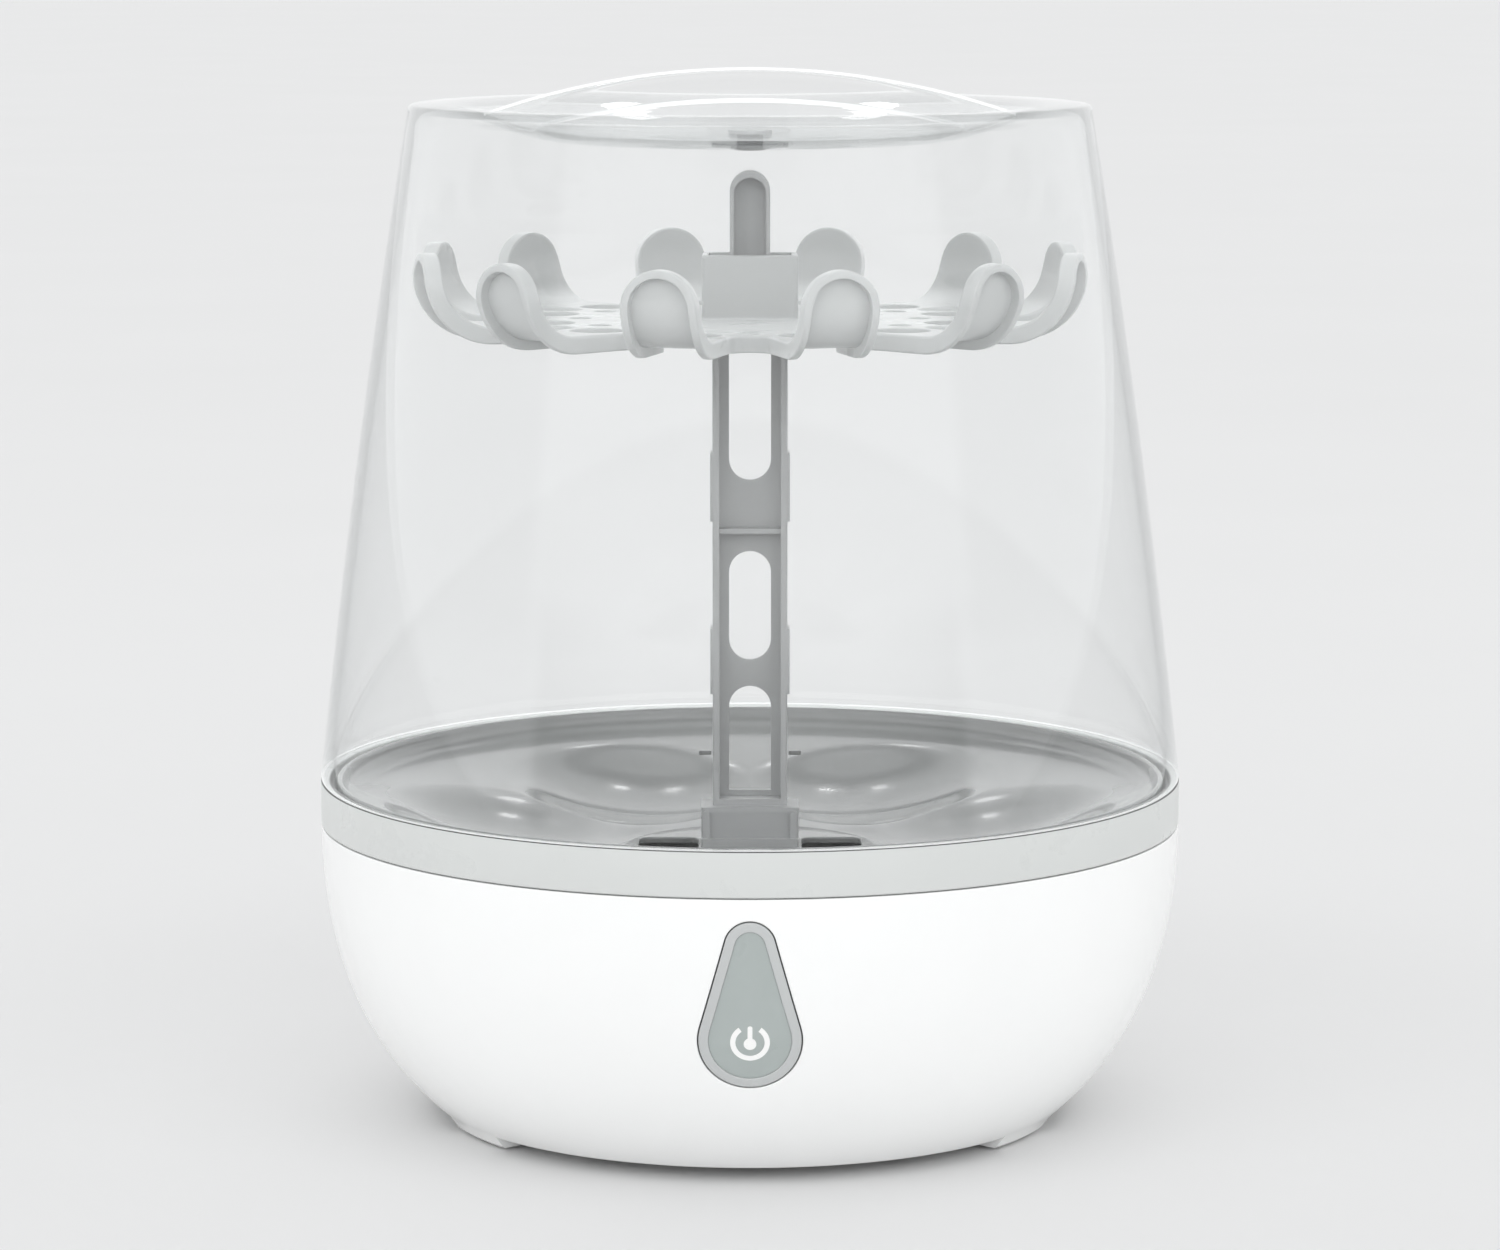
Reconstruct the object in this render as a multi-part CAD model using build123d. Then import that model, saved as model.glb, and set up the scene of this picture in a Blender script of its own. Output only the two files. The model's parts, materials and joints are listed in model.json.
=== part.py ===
from build123d import *
import math
import os

# Steam steriliser for feeding bottles. Millimetres, +Z up, origin on the floor
# under the middle of the round base. The front, with the push button, faces -Y.

# ---------------------------------------------------------------- dimensions
R_MAX = 130.0            # radius at the seam between lid and base
Z_SEAM = 103.0           # height of the seam
Z_BAND = 89.6            # lower edge of the light band
Z_BOWL_BOTTOM = 4.0      # lower edge of the white bowl
BOWL_WALL = 2.6
BOWL_Z0 = 93.5           # bowl profile: widest height, depth and exponents
BOWL_DEPTH = 115.5
BOWL_N1 = 2.3335
BOWL_N2 = 2.6506

FOOT_ANGLES = (-31.0, 31.0, 149.0, -149.0)   # middle of each foot
FOOT_SPAN = 17.0
FOOT_R_OUT = 94.5
FOOT_R_IN = 88.2

LID_TOP = 305.4
LID_WALL = 2.8
LID_A, LID_B = 21.9, 6.0  # taper of the lid wall over 200 mm
DISH_FLOOR = 296.3        # top face of the dished top
DISH_T = 2.6
GRIP_TOP = 316.1
GRIP_R_TOP = 240.0
GRIP_ARCH_TOP = 305.6
GRIP_R_ARCH = 273.0
GRIP_T = 6.0

BTN_Z1, BTN_R1 = 47.8, 14.9   # lower circle of the teardrop
BTN_Z2, BTN_R2 = 75.7, 7.5    # upper circle
BTN_GAP = 0.35
BTN_TRAVEL = 1.5
BTN_BORDER = 2.8
SYMBOL_Z = 47.3
SWITCH_Z = 63.0

MAST_W = 22.6
MAST_D = 9.0
MAST_WALL = 2.0
MAST_PAD_W = 24.0
MAST_SHOULDER = 256.0
TONGUE_W = 12.1
TONGUE_TOP = 285.4
MAST_SLOT_W = 12.7
FOOT_W = 29.5

PETALS = 12
PETAL_W = 22.5
PETAL_TOP = 262.5
BEND_R = 81.0             # where the arms start to turn up
BEND_Z = 256.0
BEND_OUT = 20.0
BEND_IN = 14.8
TRAY_SHEET = 2.2
TRAY_RIM = 2.6
TRAY_BODY_R = 61.0
TRAY_HOLE_R, TRAY_HOLE_PCR = 8.5, 62.5     # round hole at the root of each arm
TRAY_VENT_R, TRAY_VENT_PCR = 3.5, 51.0     # small hole between two arms
SOCKET_W, SOCKET_D, SOCKET_WALL, SOCKET_TOP = 28.8, 17.0, 2.0, 260.5

RACK_HUB_Z = 79.6
RACK_T = 2.0
SEAT_COUNT = 6
SEAT_PCD_R = 76.0
SEAT_R = 33.0
SEAT_DEPTH = 6.0

GLAND_Z = 24.0
GLAND_BORE_R = 3.7

os.makedirs("parts", exist_ok=True)


# ---------------------------------------------------------------- helpers
def V(r, z):
    return Vector(r, 0, z)


def chain(*segments):
    """Edges through runs of (r, z) points: two points make a line, more make a spline."""
    edges = []
    for seg in segments:
        pts = [V(*p) for p in seg]
        if len(pts) == 2:
            edges.append(Edge.make_line(pts[0], pts[1]))
        else:
            edges.append(Edge.make_spline(pts))
    return edges


def poly_edges(points):
    pts = [V(*p) for p in points]
    return [Edge.make_line(a, b) for a, b in zip(pts[:-1], pts[1:])]


def turned(edges, arc=360.0):
    """Solid of revolution of a closed profile in the XZ half plane."""
    face = Face(Wire(edges))
    return revolve(face, Axis.Z, revolution_arc=arc)


def turned_poly(points, arc=360.0):
    return turned(poly_edges(list(points) + [points[0]]), arc)


def ring(r_in, r_out, z0, z1):
    if r_in <= 0:
        return Pos(0, 0, (z0 + z1) / 2) * Cylinder(r_out, z1 - z0)
    return turned_poly([(r_in, z0), (r_out, z0), (r_out, z1), (r_in, z1)])


def cyl_z(r, z0, z1, x=0.0, y=0.0):
    return Pos(x, y, (z0 + z1) / 2) * Cylinder(r, z1 - z0)


def cyl_y(r, y0, y1, x=0.0, z=0.0):
    return Pos(x, (y0 + y1) / 2, z) * Rot(90, 0, 0) * Cylinder(r, abs(y1 - y0))


def block(x0, x1, y0, y1, z0, z1):
    return Pos((x0 + x1) / 2, (y0 + y1) / 2, (z0 + z1) / 2) * Box(x1 - x0, y1 - y0, z1 - z0)


def at(r, deg):
    return r * math.cos(math.radians(deg)), r * math.sin(math.radians(deg))


def bowl_r(z):
    if z >= BOWL_Z0:
        return R_MAX
    return R_MAX * (1 - ((BOWL_Z0 - z) / BOWL_DEPTH) ** BOWL_N1) ** (1 / BOWL_N2)


def bowl_points(offset):
    """Bowl outline moved along its normal, as a fine list from low to high."""
    out = []
    for i in range(0, 381):
        z = -4.0 + i * 0.26
        d = (bowl_r(z + 0.05) - bowl_r(z - 0.05)) / 0.1
        n = math.hypot(1, d)
        out.append((bowl_r(z) + offset / n, z - offset * d / n))
    return out


def offset_r(z, offset, table={}):
    if offset not in table:
        table[offset] = bowl_points(offset)
    pts = table[offset]
    for (r0, z0), (r1, z1) in zip(pts[:-1], pts[1:]):
        if z0 <= z <= z1:
            return r0 + (r1 - r0) * (z - z0) / (z1 - z0)
    return pts[-1][0] if z > pts[-1][1] else pts[0][0]


def bowl_curve(offset, z0, z1, n=12):
    return [(offset_r(z0 + (z1 - z0) * i / (n - 1), offset), z0 + (z1 - z0) * i / (n - 1)) for i in range(n)]


def bowl_body(offset, z0=10.0, z1=89.4):
    """Full solid inside the bowl surface moved by an offset."""
    curve = bowl_curve(offset, z0, z1, 14)
    return turned(chain([(0, z0), curve[0]], curve, [curve[-1], (0, z1)], [(0, z1), (0, z0)]))


def lid_r(z):
    t = (z - Z_SEAM) / 200.0
    return R_MAX - LID_A * t - LID_B * t * t


def lid_in_r(z):
    t = (z - Z_SEAM) / 200.0
    d = -(LID_A + 2 * LID_B * t) / 200.0
    return lid_r(z) - LID_WALL * math.hypot(1, d)


def teardrop(grow, y0, y1):
    """Upright prism of the button outline, grown by an amount, from y0 to y1."""
    r1, r2 = BTN_R1 + grow, BTN_R2 + grow
    a = math.asin((BTN_R1 - BTN_R2) / (BTN_Z2 - BTN_Z1))
    lx, lz = r1 * math.cos(a), BTN_Z1 + r1 * math.sin(a)
    ux, uz = r2 * math.cos(a), BTN_Z2 + r2 * math.sin(a)

    def p(x, z):
        return Vector(x, y0, z)

    edges = [
        Edge.make_three_point_arc(p(-lx, lz), p(0, BTN_Z1 - r1), p(lx, lz)),
        Edge.make_line(p(lx, lz), p(ux, uz)),
        Edge.make_three_point_arc(p(ux, uz), p(0, BTN_Z2 + r2), p(-ux, uz)),
        Edge.make_line(p(-ux, uz), p(-lx, lz)),
    ]
    return extrude(Face(Wire(edges)), amount=y1 - y0, dir=(0, 1, 0))


def one(shape):
    """A single clean solid."""
    s = shape.solids()
    s = sorted(s, key=lambda q: -q.volume)
    return s[0] if len(s) == 1 else shape


NODES = {}


def save(name, shape):
    NODES[name] = shape
    export_step(shape, os.path.join("parts", name + ".step"))
    print(name, len(shape.solids()), round(sum(q.volume for q in shape.solids()), 1))


def group(shapes):
    solids = []
    for s in shapes:
        solids.extend(s.solids())
    return Compound(children=solids)


# ---------------------------------------------------------------- white bowl housing
outer = bowl_curve(0.0, Z_BOWL_BOTTOM, 89.1, 14)
inner = bowl_curve(-BOWL_WALL, 9.0, 89.4, 14)
housing = turned(
    chain(
        outer,
        [outer[-1], (outer[-1][0] - 0.3, 89.4)],
        [(outer[-1][0] - 0.3, 89.4), inner[-1]],
        list(reversed(inner)),
        [inner[0], (76.0, 9.0)],
        [(76.0, 9.0), (76.0, 6.6)],
        [(76.0, 6.6), (87.8, 6.6)],
        [(87.8, 6.6), (87.8, Z_BOWL_BOTTOM)],
        [(87.8, Z_BOWL_BOTTOM), outer[0]],
    )
)

# foot tabs: short sectors that carry the bowl's curve down to the floor
tab_section = [
    (FOOT_R_IN, 0.7),
    (93.7, 0.7),
    (FOOT_R_OUT, 1.3),
    (bowl_r(5.2), 5.2),
    (92.0, 7.0),
    (FOOT_R_IN, 7.0),
]
for a in FOOT_ANGLES:
    housing += Rot(0, 0, a - FOOT_SPAN / 2) * turned_poly(tab_section, FOOT_SPAN)
    housing -= Rot(0, 0, a - 6.7) * turned_poly([(89.3, 0.0), (93.1, 0.0), (93.1, 1.7), (89.3, 1.7)], 13.4)

bowl_m1 = bowl_body(-1.0)
bowl_m7 = bowl_body(-7.0)

# collar that guides the button
collar = (teardrop(2.0, -134, -100) & bowl_m1) - bowl_m7
housing += collar
housing -= teardrop(0.0, -136, -100)

# posts for the control board
POSTS = [(-22.5, 42.0), (22.5, 42.0), (-22.5, 64.0), (22.5, 64.0)]
BOARD_Y0, BOARD_Y1 = -107.0, -105.4
for x, z in POSTS:
    housing += cyl_y(2.9, -124, BOARD_Y0 - 0.02, x, z) & bowl_m1
    housing -= cyl_y(1.25, BOARD_Y0 - 6.5, BOARD_Y0 + 1, x, z)

# long pillars that carry the water basin
PILLARS = [-60.0, -120.0, 60.0, 120.0]
PILLAR_R = 82.2
PILLAR_TOP = 54.0
for a in PILLARS:
    x, y = at(PILLAR_R, a)
    housing += cyl_z(4.6, 8.0, PILLAR_TOP, x, y)
    housing -= cyl_z(3.7, 5.0, 42.0, x, y)
    housing -= cyl_z(1.9, 40.0, PILLAR_TOP + 1, x, y)

# bosses that take the screws of the bottom cover
COVER_SCREWS = [0.0, 180.0, 90.0, -90.0]
COVER_SCREW_R = 80.6
for a in COVER_SCREWS:
    x, y = at(COVER_SCREW_R, a)
    housing += cyl_z(3.8, 8.0, 20.0, x, y)
    housing -= cyl_z(1.5, 5.0, 18.0, x, y)

# cord entry at the back: a boss inside, a round pocket outside and a hole
housing += cyl_y(13.0, 97.0, 121.0, 0, GLAND_Z) & bowl_body(-0.6, 4.5, 60.0)
housing -= cyl_y(10.5, 104.0, 128.0, 0, GLAND_Z)
housing -= cyl_y(6.7, 90.0, 105.0, 0, GLAND_Z)
save("base_housing", one(housing))

# ---------------------------------------------------------------- feet pads
pads = []
for a in FOOT_ANGLES:
    pads.append(
        Rot(0, 0, a - 6.5)
        * turned_poly([(89.45, 0.4), (89.85, 0.0), (92.55, 0.0), (92.95, 0.4), (92.95, 1.65), (89.45, 1.65)], 13.0)
    )
save("foot_pads", group(pads))

# ---------------------------------------------------------------- light band
trim = turned_poly(
    [
        (R_MAX - 0.3, 89.7),
        (R_MAX, 90.0),
        (R_MAX, 102.6),
        (R_MAX - 0.4, Z_SEAM),
        (127.9, Z_SEAM),
        (127.5, 102.6),
        (127.5, 94.4),
        (122.9, 94.4),
        (122.9, 91.8),
        (124.5, 91.8),
        (124.5, 86.0),
        (126.5, 86.0),
        (126.8, 89.7),
    ]
)
save("trim_ring", trim)

# ---------------------------------------------------------------- water basin
basin_top = [
    (121.6, 96.3),
    (118.9, 92.4),
    (113.8, 85.0),
    (107.6, 77.0),
    (99.8, 69.5),
    (90.0, 62.8),
    (78.0, 58.0),
    (66.0, 55.3),
    (55.0, 53.9),
]


def shift(points, d):
    out = []
    for i, (r, z) in enumerate(points):
        a = points[max(0, i - 1)]
        b = points[min(len(points) - 1, i + 1)]
        tr, tz = b[0] - a[0], b[1] - a[1]
        n = math.hypot(tr, tz)
        out.append((r - tz / n * d, z + tr / n * d))
    return out


under = shift(basin_top, 2.2)
# The basin is one moulding, kept as a wall and a floor that meet at one radius.
wall_top = basin_top[:6]
floor_top = basin_top[5:]
wall_low = [(122.6, 94.5)] + [p for p in under[1:6] if p[1] < 91.5]
floor_low = [wall_low[-1]] + [p for p in under[6:] if p[0] > 74.5] + [(70.6, 54.2)]
basin_wall = turned(
    chain(
        [(127.2, 96.3), wall_top[0]],
        wall_top,
        [wall_top[-1], wall_low[-1]],
        list(reversed(wall_low)),
        [(122.6, 94.5), (127.2, 94.5)],
        [(127.2, 94.5), (127.2, 96.3)],
    )
)
save("basin_wall", one(basin_wall))
basin = turned(
    chain(
        floor_top,
        [(55.0, 53.9), (55.0, 51.7)],
        [(55.0, 51.7), (62.8, 51.7)],
        [(62.8, 51.7), (62.8, 49.1)],
        [(62.8, 49.1), (70.6, 49.1)],
        [(70.6, 49.1), (70.6, 54.2)],
        list(reversed(floor_low)),
        [floor_low[0], floor_top[0]],
    )
)
basin_solid_under = turned(
    chain(
        [(0, 40), (0, 54.6)],
        [(0, 54.6), (66.0, 54.6)],
        [(66.0, 54.6), (74.0, 56.0), (84.0, 59.0), (94.0, 64.0), (102.0, 70.0)],
        [(102.0, 70.0), (102.0, 40.0)],
        [(102.0, 40.0), (0, 40)],
    )
)
for a in PILLARS:
    x, y = at(PILLAR_R, a)
    boss = cyl_z(4.2, PILLAR_TOP + 0.1, 66.0, x, y) & basin_solid_under
    basin += boss
    basin -= cyl_z(1.9, PILLAR_TOP - 1, 57.6, x, y)
CLAMP_SCREWS = [0, 60, 120, 180, 240, 300]
CLAMP_R = 66.7
for a in CLAMP_SCREWS:
    x, y = at(CLAMP_R, a)
    basin -= cyl_z(1.5, 48.0, 53.2, x, y)
save("basin_floor", one(basin))

screws = []
for a in PILLARS:
    x, y = at(PILLAR_R, a)
    screws.append(
        cyl_z(3.4, 38.9, 41.95, x, y) + cyl_z(1.8, 41.0, 57.2, x, y) - Pos(x, y, 39.4) * Box(4.2, 0.9, 1.2) - Pos(x, y, 39.4) * Box(0.9, 4.2, 1.2)
    )
save("basin_screws", group(screws))

# ---------------------------------------------------------------- heating plate and what hangs under it
plate = turned_poly(
    [
        (0, 48.0),
        (50.0, 48.0),
        (52.5, 48.6),
        (54.0, 50.4),
        (61.8, 50.4),
        (61.8, 48.9),
        (55.2, 48.9),
        (53.4, 46.9),
        (50.0, 46.4),
        (0, 46.4),
    ]
)
save("heating_plate", plate)
gasket = turned_poly(
    [(54.4, 50.42), (61.9, 50.42), (61.9, 48.6), (62.7, 48.6), (62.7, 51.65), (54.9, 51.65), (54.9, 52.6), (54.4, 52.6)]
)
save("plate_gasket", gasket)

clamp = ring(56.2, 70.4, 47.0, 48.55)
clamp -= ring(56.2, 61.9, 48.0, 49.0)
for a in CLAMP_SCREWS:
    x, y = at(CLAMP_R, a)
    clamp -= cyl_z(1.8, 46, 50, x, y)
    # each clamp flat has a stiffening slot beside its screw
    x2, y2 = at(CLAMP_R, a + 30)
    clamp -= Pos(x2, y2, 48) * Rot(0, 0, a + 30) * Box(3.0, 16.0, 6.0)
save("clamp_ring", one(clamp))
cs = []
for a in CLAMP_SCREWS:
    x, y = at(CLAMP_R, a)
    cs.append(
        cyl_z(3.0, 44.6, 46.98, x, y) + cyl_z(1.4, 46.0, 52.8, x, y) - Pos(x, y, 45.0) * Box(3.6, 0.8, 1.0) - Pos(x, y, 45.0) * Box(0.8, 3.6, 1.0)
    )
save("clamp_screws", group(cs))

# tubular element: an open ring whose two ends turn down
EL_R, EL_T, EL_Z = 40.0, 3.3, 43.0
el_half = 155.0
el_mid = 90.0             # the opening faces the back


def el_pt(deg):
    return Vector(EL_R * math.cos(math.radians(deg)), EL_R * math.sin(math.radians(deg)), EL_Z)


a0, a1 = el_mid + (180 - el_half), el_mid - (180 - el_half) + 360
start, end = el_pt(a0), el_pt(a1)


def el_tail(p, t):
    rb = 6.5
    down = Vector(0, 0, -1)
    pts = []
    for th in (math.pi / 4, math.pi / 2):
        pts.append(p + t * (rb * math.sin(th)) + down * (rb * (1 - math.cos(th))))
    return pts[0], pts[1], pts[1] + down * 5.0


t0 = Vector(math.sin(math.radians(a0)), -math.cos(math.radians(a0)), 0)
t1 = Vector(-math.sin(math.radians(a1)), math.cos(math.radians(a1)), 0)
m0, e0, z0 = el_tail(start, t0)
m1, e1, z1 = el_tail(end, t1)
el_path = Wire(
    [
        Edge.make_line(z0, e0),
        Edge.make_three_point_arc(e0, m0, start),
        Edge.make_three_point_arc(start, el_pt((a0 + a1) / 2), end),
        Edge.make_three_point_arc(end, m1, e1),
        Edge.make_line(e1, z1),
    ]
)
element = sweep(Plane(origin=z0, z_dir=(0, 0, 1)) * Circle(EL_T), path=el_path)
save("heating_element", element)
tabs = []
for q in (z0, z1):
    tabs.append(
        cyl_z(2.4, q.Z - 2.2, q.Z - 0.02, q.X, q.Y)
        + Pos(q.X, q.Y, q.Z - 6.0) * Box(0.8, 6.3, 8.0)
        - Pos(q.X, q.Y, q.Z - 8.2) * Rot(0, 90, 0) * Cylinder(0.8, 4)
    )
save("element_tabs", group(tabs))

# bimetal thermostat pressed on the middle of the plate
thermo = cyl_z(8.2, 40.2, 46.35, 0, 0) + cyl_z(9.6, 37.0, 40.6, 0, 0)
thermo += Pos(-5.4, 0, 34.4) * Box(0.8, 6.3, 6.4) + Pos(5.4, 0, 34.4) * Box(0.8, 6.3, 6.4)
save("thermostat", one(thermo))
fuse = Pos(0, -19.0, 44.2) * Rot(0, 90, 0) * Cylinder(2.0, 13.0)
fuse += Pos(0, -19.0, 44.2) * Rot(0, 90, 0) * Cylinder(0.5, 30.0)
save("thermal_fuse", one(fuse))
# spring bracket: a strap under the thermostat with two feet on the plate and a clip for the fuse
br = block(-4.0, 4.0, -30.5, 30.5, 35.6, 36.9)
br += block(-4.0, 4.0, -30.5, -29.2, 35.6, 46.3) + block(-4.0, 4.0, 29.2, 30.5, 35.6, 46.3)
br += block(-4.0, 4.0, -34.5, -30.0, 45.1, 46.3) + block(-4.0, 4.0, 30.0, 34.5, 45.1, 46.3)
br += block(-4.0, 4.0, -22.4, -21.3, 36.5, 44.0) + block(-4.0, 4.0, -16.7, -15.6, 36.5, 44.0)
br += block(-4.0, 4.0, -22.4, -15.6, 40.6, 41.9)
save("sensor_bracket", one(br))

# ---------------------------------------------------------------- bottom cover
COVER_R = 87.4
cover = ring(0, COVER_R, 4.1, 6.5)
for a in COVER_SCREWS:
    x, y = at(COVER_SCREW_R, a)
    cover -= cyl_z(1.8, 3.0, 8.0, x, y)
    cover -= cyl_z(3.5, 3.0, 5.3, x, y)
for a in PILLARS:
    x, y = at(PILLAR_R, a)
    cover -= cyl_z(4.2, 3.0, 8.0, x, y)
for side in (-1, 1):
    for i in range(6):
        y = side * 52 + (i - 2.5) * 5.4
        w = 34.0 - abs(i - 2.5) * 3.0
        cover -= Pos(0, y, 5) * Box(w, 2.2, 6.0)
cover += ring(70.0, 71.6, 6.0, 10.0)
BOARD_POSTS = [(-62.0, -17.0), (-62.0, 17.0), (-10.0, -17.0), (-10.0, 17.0)]
for x, y in BOARD_POSTS:
    cover += cyl_z(3.2, 6.0, 14.0, x, y)
    cover -= cyl_z(1.25, 7.0, 15.0, x, y)
save("bottom_cover", one(cover))
cv = []
for a in COVER_SCREWS:
    x, y = at(COVER_SCREW_R, a)
    cv.append(
        cyl_z(3.2, 4.2, 5.28, x, y) + cyl_z(1.4, 5.0, 17.0, x, y) - Pos(x, y, 4.3) * Box(3.8, 0.8, 0.9) - Pos(x, y, 4.3) * Box(0.8, 3.8, 0.9)
    )
save("cover_screws", group(cv))

# ---------------------------------------------------------------- power board
pb = block(-67.0, -5.0, -22.0, 22.0, 14.02, 15.6)
for x, y in BOARD_POSTS:
    pb -= cyl_z(1.5, 13.0, 17.0, x, y)
save("power_board", pb)
save("relay", fillet(block(-48.0, -29.0, -14.0, 1.5, 15.62, 31.0).edges().filter_by(Axis.Z), 0.8))
cap = block(-26.0, -8.5, -11.5, -4.0, 15.62, 27.0)
save("power_capacitor", fillet(cap.edges().filter_by(Axis.Z), 1.5))
tb = block(-52.0, -22.0, 6.0, 18.5, 15.62, 27.0)
for i in range(3):
    x = -47.0 + i * 10.0
    tb -= cyl_z(2.2, 20.0, 28.0, x, 11.0)
    tb -= cyl_y(1.8, 13.0, 20.0, x, 18.6)
save("terminal_block", tb)
ps = []
for x, y in BOARD_POSTS:
    ps.append(cyl_z(2.4, 15.62, 17.6, x, y) + cyl_z(1.15, 8.5, 16.0, x, y) - Pos(x, y, 17.6) * Box(3.0, 0.7, 0.9) - Pos(x, y, 17.6) * Box(0.7, 3.0, 0.9))
save("power_board_screws", group(ps))

# ---------------------------------------------------------------- front control board and switch
board = block(-27.5, 27.5, BOARD_Y0, BOARD_Y1, 38.0, 68.5)
for x, z in POSTS:
    board -= cyl_y(1.4, BOARD_Y0 - 1, BOARD_Y1 + 1, x, z)
save("control_board", board)
bs = []
for x, z in POSTS:
    bs.append(cyl_y(2.4, BOARD_Y1 + 0.02, BOARD_Y1 + 1.9, x, z) + cyl_y(1.15, BOARD_Y0 - 5.5, BOARD_Y1 + 0.5, x, z) - Pos(x, BOARD_Y1 + 1.9, z) * Box(3.0, 0.9, 0.7) - Pos(x, BOARD_Y1 + 1.9, z) * Box(0.7, 0.9, 3.0))
save("board_screws", group(bs))
switch = block(-3.0, 3.0, -111.0, BOARD_Y0 - 0.02, SWITCH_Z - 3, SWITCH_Z + 3)
switch -= cyl_y(2.1, -112.0, -107.5, 0, SWITCH_Z)
save("push_switch", switch)
leds = []
for x in (-3.4, 3.4):
    leds.append(block(x - 1.6, x + 1.6, -109.2, BOARD_Y0 - 0.02, SYMBOL_Z - 1.4, SYMBOL_Z + 1.4) + cyl_y(1.2, -109.8, -109.0, x, SYMBOL_Z))
save("indicator_leds", group(leds))

# ---------------------------------------------------------------- push button
PROUD = 0.12
bowl_face = bowl_body(PROUD)
bowl_p2 = bowl_body(-0.38)
bowl_p3 = bowl_body(-1.5)
bowl_p4 = bowl_body(-4.0)
bowl_f0 = bowl_body(-7.6)
bowl_f1 = bowl_body(-9.2)
cap = (teardrop(-BTN_GAP, -136, -100) & bowl_face) - bowl_p4
cap -= teardrop(-BTN_GAP - BTN_BORDER, -136, -100) - bowl_p3
skirt = ((teardrop(-BTN_GAP, -136, -100) - teardrop(-BTN_GAP - 1.8, -137, -99)) & bowl_body(-3.9)) - bowl_f1
flange = ((teardrop(1.7, -136, -100) - teardrop(-BTN_GAP - 1.8, -137, -99)) & bowl_f0) - bowl_f1
cap += skirt
cap += flange
rib = cyl_y(3.9, -126.0, -113.4, 0, SWITCH_Z) & bowl_body(-3.9)
cap += rib
save("power_button", one(cap))

panel = ((teardrop(-BTN_GAP - BTN_BORDER - 0.05, -136, -100)) & bowl_p2) - bowl_body(-1.48)


def symbol(y0, y1, grow=0.0):
    """Generic power mark: an open ring and an upright bar with a round foot."""
    ro, ri = 5.6 + grow, 4.1 - grow
    s = Pos(0, (y0 + y1) / 2, SYMBOL_Z) * Rot(90, 0, 0) * (Cylinder(ro, y1 - y0) - Cylinder(ri, y1 - y0 + 2))
    # opening at the top, 70 degrees wide
    w = math.tan(math.radians(35.0)) * 10.0
    cut_pts = [Vector(0, y0 - 1, SYMBOL_Z), Vector(-w + grow, y0 - 1, SYMBOL_Z + 10), Vector(w - grow, y0 - 1, SYMBOL_Z + 10)]
    cut = extrude(Face(Wire([Edge.make_line(cut_pts[0], cut_pts[1]), Edge.make_line(cut_pts[1], cut_pts[2]), Edge.make_line(cut_pts[2], cut_pts[0])])), amount=y1 - y0 + 2, dir=(0, 1, 0))
    s -= cut
    bar = block(-0.7 - grow, 0.7 + grow, y0, y1, SYMBOL_Z - 0.4, SYMBOL_Z + 4.35)
    bar += cyl_y(0.7 + grow, y0, y1, 0, SYMBOL_Z + 4.35)
    bar += cyl_y(1.8 + grow, y0, y1, 0, SYMBOL_Z - 0.45)
    return s, bar


sym_ring, sym_bar = symbol(-136, -100, 0.0)
hole_ring, hole_bar = symbol(-137, -99, 0.02)
panel = panel - hole_ring - hole_bar
save("button_panel", group([panel]))
mark_body = bowl_body(-0.36) - bowl_body(-1.46)
save("power_symbol", group([sym_ring & mark_body, sym_bar & mark_body]))

guide = cyl_y(6.2, -126.0, -112.0, 0, SYMBOL_Z) & bowl_body(-4.03)
save("light_guide", one(guide))
save("switch_plunger", cyl_y(1.9, -113.35, -109.3, 0, SWITCH_Z) + cyl_y(1.6, -109.4, -109.1, 0, SWITCH_Z))

SPRING_Y0, SPRING_Y1 = -122.6, -107.6
helix = Helix(pitch=2.9, height=abs(SPRING_Y1 - SPRING_Y0) - 1.2, radius=5.2, center=(0, SPRING_Y0 + 0.9, SWITCH_Z), direction=(0, 1, 0))
wire_r = 0.4
spring = sweep(Plane(origin=helix @ 0, z_dir=helix % 0) * Circle(wire_r), path=helix, is_frenet=True)
save("return_spring", spring)

# ---------------------------------------------------------------- cord gland at the back
gl = cyl_y(9.0, 104.02, 106.6, 0, GLAND_Z) + cyl_y(6.6, 91.0, 104.1, 0, GLAND_Z)
gl += Pos(0, 108.3, GLAND_Z) * Rot(90, 0, 0) * Cone(6.0, 7.2, 3.6)
gl -= cyl_y(GLAND_BORE_R, 90.0, 113.0, 0, GLAND_Z)
save("cord_gland", one(gl))
hexa = extrude(Plane(origin=(0, 92.5, GLAND_Z), z_dir=(0, 1, 0)) * RegularPolygon(10.0, 6), amount=4.4)
nut = hexa - cyl_y(6.65, 90.0, 99.0, 0, GLAND_Z)
save("gland_nut", one(nut))

# ---------------------------------------------------------------- inner leads
def lead(points, radius):
    """A round lead: straight runs joined by arcs as large as the runs allow."""
    pts = [Vector(*p) for p in points]
    bends = []
    for a, b, c in zip(pts[:-2], pts[1:-1], pts[2:]):
        turn = math.radians((b - a).get_angle(c - b))
        bends.append(0.45 * min((b - a).length, (c - b).length) / math.tan(turn / 2))
    print("arc radii", [round(q, 1) for q in bends])
    path = FilletPolyline(*pts, radius=bends)
    return sweep(Plane(origin=pts[0], z_dir=(pts[1] - pts[0]).normalized()) * Circle(radius), path=path)


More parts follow.
